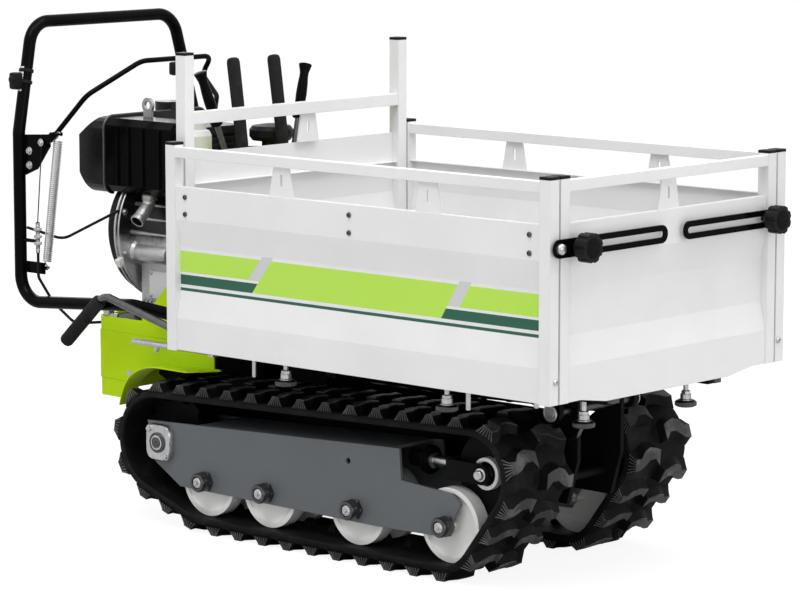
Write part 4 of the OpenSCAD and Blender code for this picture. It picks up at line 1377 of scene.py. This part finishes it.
    def clutch_bail(self) -> None:
        """Bent dead-man rod with its crank plate and spring pin."""
        bm = bmesh.new()
        sweep(bm, bend(self.bail, 46.0, 10), 5.5, 16)
        loft(bm, [[bm.verts.new(at(x, y, z)) for x, z in self.crank] for y in self.crank_y])
        lathe(bm, at(self.spring_high[0], -260, self.spring_high[1]), Y_AXIS, self.spring_pin, 16)
        self.shop.emit("bent_bail", bm, Look.GLOSS_BLACK, sharp=40.0, replaces="clutch_bail")

    def switches(self) -> None:
        """Moulded switch housings clamped on the upper legs."""
        bm, x, z = bmesh.new(), self.switch_x, self.switch_z
        for side, y, (dx, dy, dz) in self.housings:
            low, high = self.leg_ends(side)
            ahead = (high - low).normalized()
            for along in (-15.0, 9.0):
                lathe(bm, at(*(low.lerp(high, 0.5) + ahead * along)), ahead, self.clip, 28)
            block(bm, at(x - dx, y - dy, z - dz), at(x + dx, y + dy, z + dz), 6.0)
            lathe(bm, at(x, y + side * dy, z + 3), side * Y_AXIS, self.button, 20)
            block(bm, at(x - dx - 3, y - 5, z - 6), at(x - dx + 3, y + 5, z + 6), 2.0)
        self.shop.emit("switch_housings", bm, Look.PLASTIC, replaces="bar_switches")


@dataclass
class Engine(Trim):
    """Tank bead with its painted highlight, starter handle, castings, bolts and exhaust of the engine."""

    crank_z: float = 183.0
    bolt_x: float = -1330.8
    bolt_r: float = 141.0
    rims: tuple[Pair, ...] = ((-1344.0, 150.6), (-1335.0, 148.6))
    rib_r: float = 116.0
    rib_x: Point = (-1332.0, -1280.0, -1225.0)
    boss: Profile = (
        (0, 0), (26, 0), (26, 10), (21, 16), (21, 96), (18, 104), (10, 106), (10, 118), (0, 118))
    seam_x: float = -1375.0
    tank_r: float = 26.0
    tank_half: float = 150.0
    tank_z: Pair = (263.0, 424.0)
    elbow: tuple[Point, ...] = (
        (-1262, -128, 258), (-1263, -131, 244), (-1259, -150, 231), (-1257, -163, 221))
    blow: Point = (3.0, -23.0, -18.0)

    def build(self) -> None:
        """Make the engine's fine pieces."""
        bright, alloy, pale = bmesh.new(), bmesh.new(), bmesh.new()
        for k in range(10):
            hex_bolt(bright, self.round_crank(self.bolt_x, self.bolt_r, *step(k + 0.5, 10)), X_AXIS, 6.0, 7.5)
        for x, radius in self.rims:
            sweep(bright, [self.round_crank(x, radius, *step(k, 96)) for k in range(97)], 3.0, 10)
        self.casting(alloy, bright)
        self.shop.emit("engine_bolts", bright, Look.ZINC)
        self.shop.emit("engine_casting", alloy, Look.ALLOY)
        block(pale, at(-1345, -150, 112), at(-1331, -134, 130), 2.0, 24.0)
        block(pale, at(-1296, -99.5, 46), at(-1222, -95, 104), 1.5)
        self.shop.emit("pale_plates", pale, Look.WHITE)
        self.pull_handle()
        self.bead()
        self.exhaust()

    def round_crank(self, x: float, radius: float, c: float, s: float) -> Vector:
        """Point on a circle about the crankshaft."""
        return at(x, radius * c, self.crank_z + radius * s)

    def casting(self, alloy: BMesh, bright: BMesh) -> None:
        """Ribs, starter boss and screws of the blank plate on the crankcase.

        Args:
            alloy: Mesh of cast alloy.
            bright: Mesh of bright steel.
        """
        for degrees in range(135, 256, 15):
            line = [self.round_crank(x, self.rib_r, *step(degrees, 360)) for x in self.rib_x]
            sweep(alloy, line, (5.0, 3.6, 2.0), 8)
        lathe(alloy, at(-1332, -104, 141), X_AXIS, self.boss, 36)
        for x in (-1290, -1228):
            for z in (52, 98):
                cap_screw(bright, at(x, -99.4, z), -Y_AXIS, 3.6, 2.4)
        for k in range(9):
            block(alloy, at(-1318 + 11 * k, -101, 14), at(-1313 + 11 * k, -94, 40), 1.2)

    def pull_handle(self) -> None:
        """Starter grip on its rope guide."""
        bm = bmesh.new()
        base = at(-1396.0, -62.0, self.crank_z + 84.0)
        lathe(bm, base, -X_AXIS, ((16, -4), (16, 4), (11, 7), (6, 8), (6, 12)), 24)
        lathe(bm, base - 0.012 * X_AXIS, -X_AXIS, ((5, 0), (9, 1), (11, 6), (11, 12), (9, 16), (0, 17)), 20)
        block(bm, base + Vector((-0.030, -0.034, -0.009)), base + Vector((-0.016, 0.034, 0.009)), 5.0)
        self.shop.emit("engine_black_trim", bm, Look.TANK)

    def bead(self) -> None:
        """Seam bead round the tank, in grey steel so that it shows as a painted highlight on the black tank.
        """
        bm, r, low, high = bmesh.new(), self.tank_r, *self.tank_z
        inner = self.tank_half - r
        path = []
        for y, z, start in ((inner, high - r, 0), (-inner, high - r, 90), (-inner, low + r, 180)):
            for c, s in (step(start + 10 * k, 360) for k in range(10)):
                path.append(at(self.seam_x, y + (r + 0.6) * c, z + (r + 0.6) * s))
        sweep(bm, path, 2.4, 8)
        # Grey steel bead on the black tank: a painted highlight line.
        self.shop.emit("tank_bead_painted_highlight", bm, Look.DARK_STEEL)

    def exhaust(self) -> None:
        """Corrugated collar and elbow that ends in a mouth lined with a black plug: real soot, and painted
        shade standing in for the pipe's dark hollow.
        """
        bm, dark_fill = bmesh.new(), bmesh.new()
        collar = [(0, 0)] + [(16.6 if k % 2 else 14.8, 1.6 * k) for k in range(9)] + [(0, 13)]
        lathe(bm, at(-1262, -128, 267.9), -Z_AXIS, collar, 40)
        sweep(bm, bend(self.elbow, 30, 12), 13.4, 28)
        mouth, tip = at(*self.elbow[-1]), Vector(self.blow).normalized()
        lathe(bm, mouth, tip, ((0, -3), (13.4, -3), (14.2, 0), (14.2, 10), (12.2, 10), (12, 0), (0, 0)), 36)
        # Black plug just inside the mouth: soot, and painted shade in place of the deep hollow of the pipe.
        lathe(dark_fill, mouth, tip, ((0, -2), (12.1, -2), (12.1, 8.6), (11, 8.6), (9, 3), (0, 2)), 32)
        self.shop.emit("exhaust_elbow", bm, Look.ALLOY, sharp=50.0, replaces="exhaust")
        self.shop.emit("exhaust_soot_and_shade", dark_fill, Look.FRAME_BLACK)


@dataclass
class RearTrim(Trim):
    """Bolts of the rear cover and the foam of the lift handle."""

    cover_y: float = 203.0
    bolts: tuple[Pair, ...] = ((-1248.0, -97.0), (-1167.0, -37.0))
    spool: Profile = ((0, 0), (8.5, 0), (8.5, 3), (5, 4), (5, 12), (8.5, 13), (8.5, 16), (0, 16))
    grip: tuple[Point, Point] = ((-1244.6, -287.0, 65.5), (-1350.0, -287.0, -30.8))

    def build(self) -> None:
        """Make bolts, spool and grip."""
        bright, foam = bmesh.new(), bmesh.new()
        for side in SIDES:
            for x, z in self.bolts:
                hex_bolt(bright, at(x, side * self.cover_y, z), side * Y_AXIS, 6.0, 8.0)
        lathe(bright, at(-1318, -self.cover_y, 27), Y_AXIS, self.spool, 24)
        block(bright, at(-1322, -198, 11), at(-1290, -192, 23), 1.5)
        self.shop.emit("cover_bolts", bright, Look.ZINC)
        low, high = (at(*end) for end in self.grip)
        length = (high - low).length / MM
        sleeve = ((0, 0), (10.4, 0), (13.6, 1.5), (14.4, 5), (14.4, length - 6), (13, length - 1.5),
                  (9, length), (0, length))
        lathe(foam, low, (high - low).normalized(), sleeve, 28)
        self.shop.emit("lift_grip", foam, Look.FOAM, "bed")


def main() -> None:
    """Build the scene piece by piece."""
    logging.basicConfig(level=logging.INFO)
    shop = Workshop()
    Studio().build()
    for look, nodes in SHADES.items():
        for node in nodes:
            shop.dress(node, look)
    for side in SIDES:
        Track(shop, side).build()
        Undercarriage(shop, side).build()
    for group in (BoxTrim, Clamps, Controls, Engine, RearTrim):
        group(shop).build()


if __name__ == "__main__":
    main()
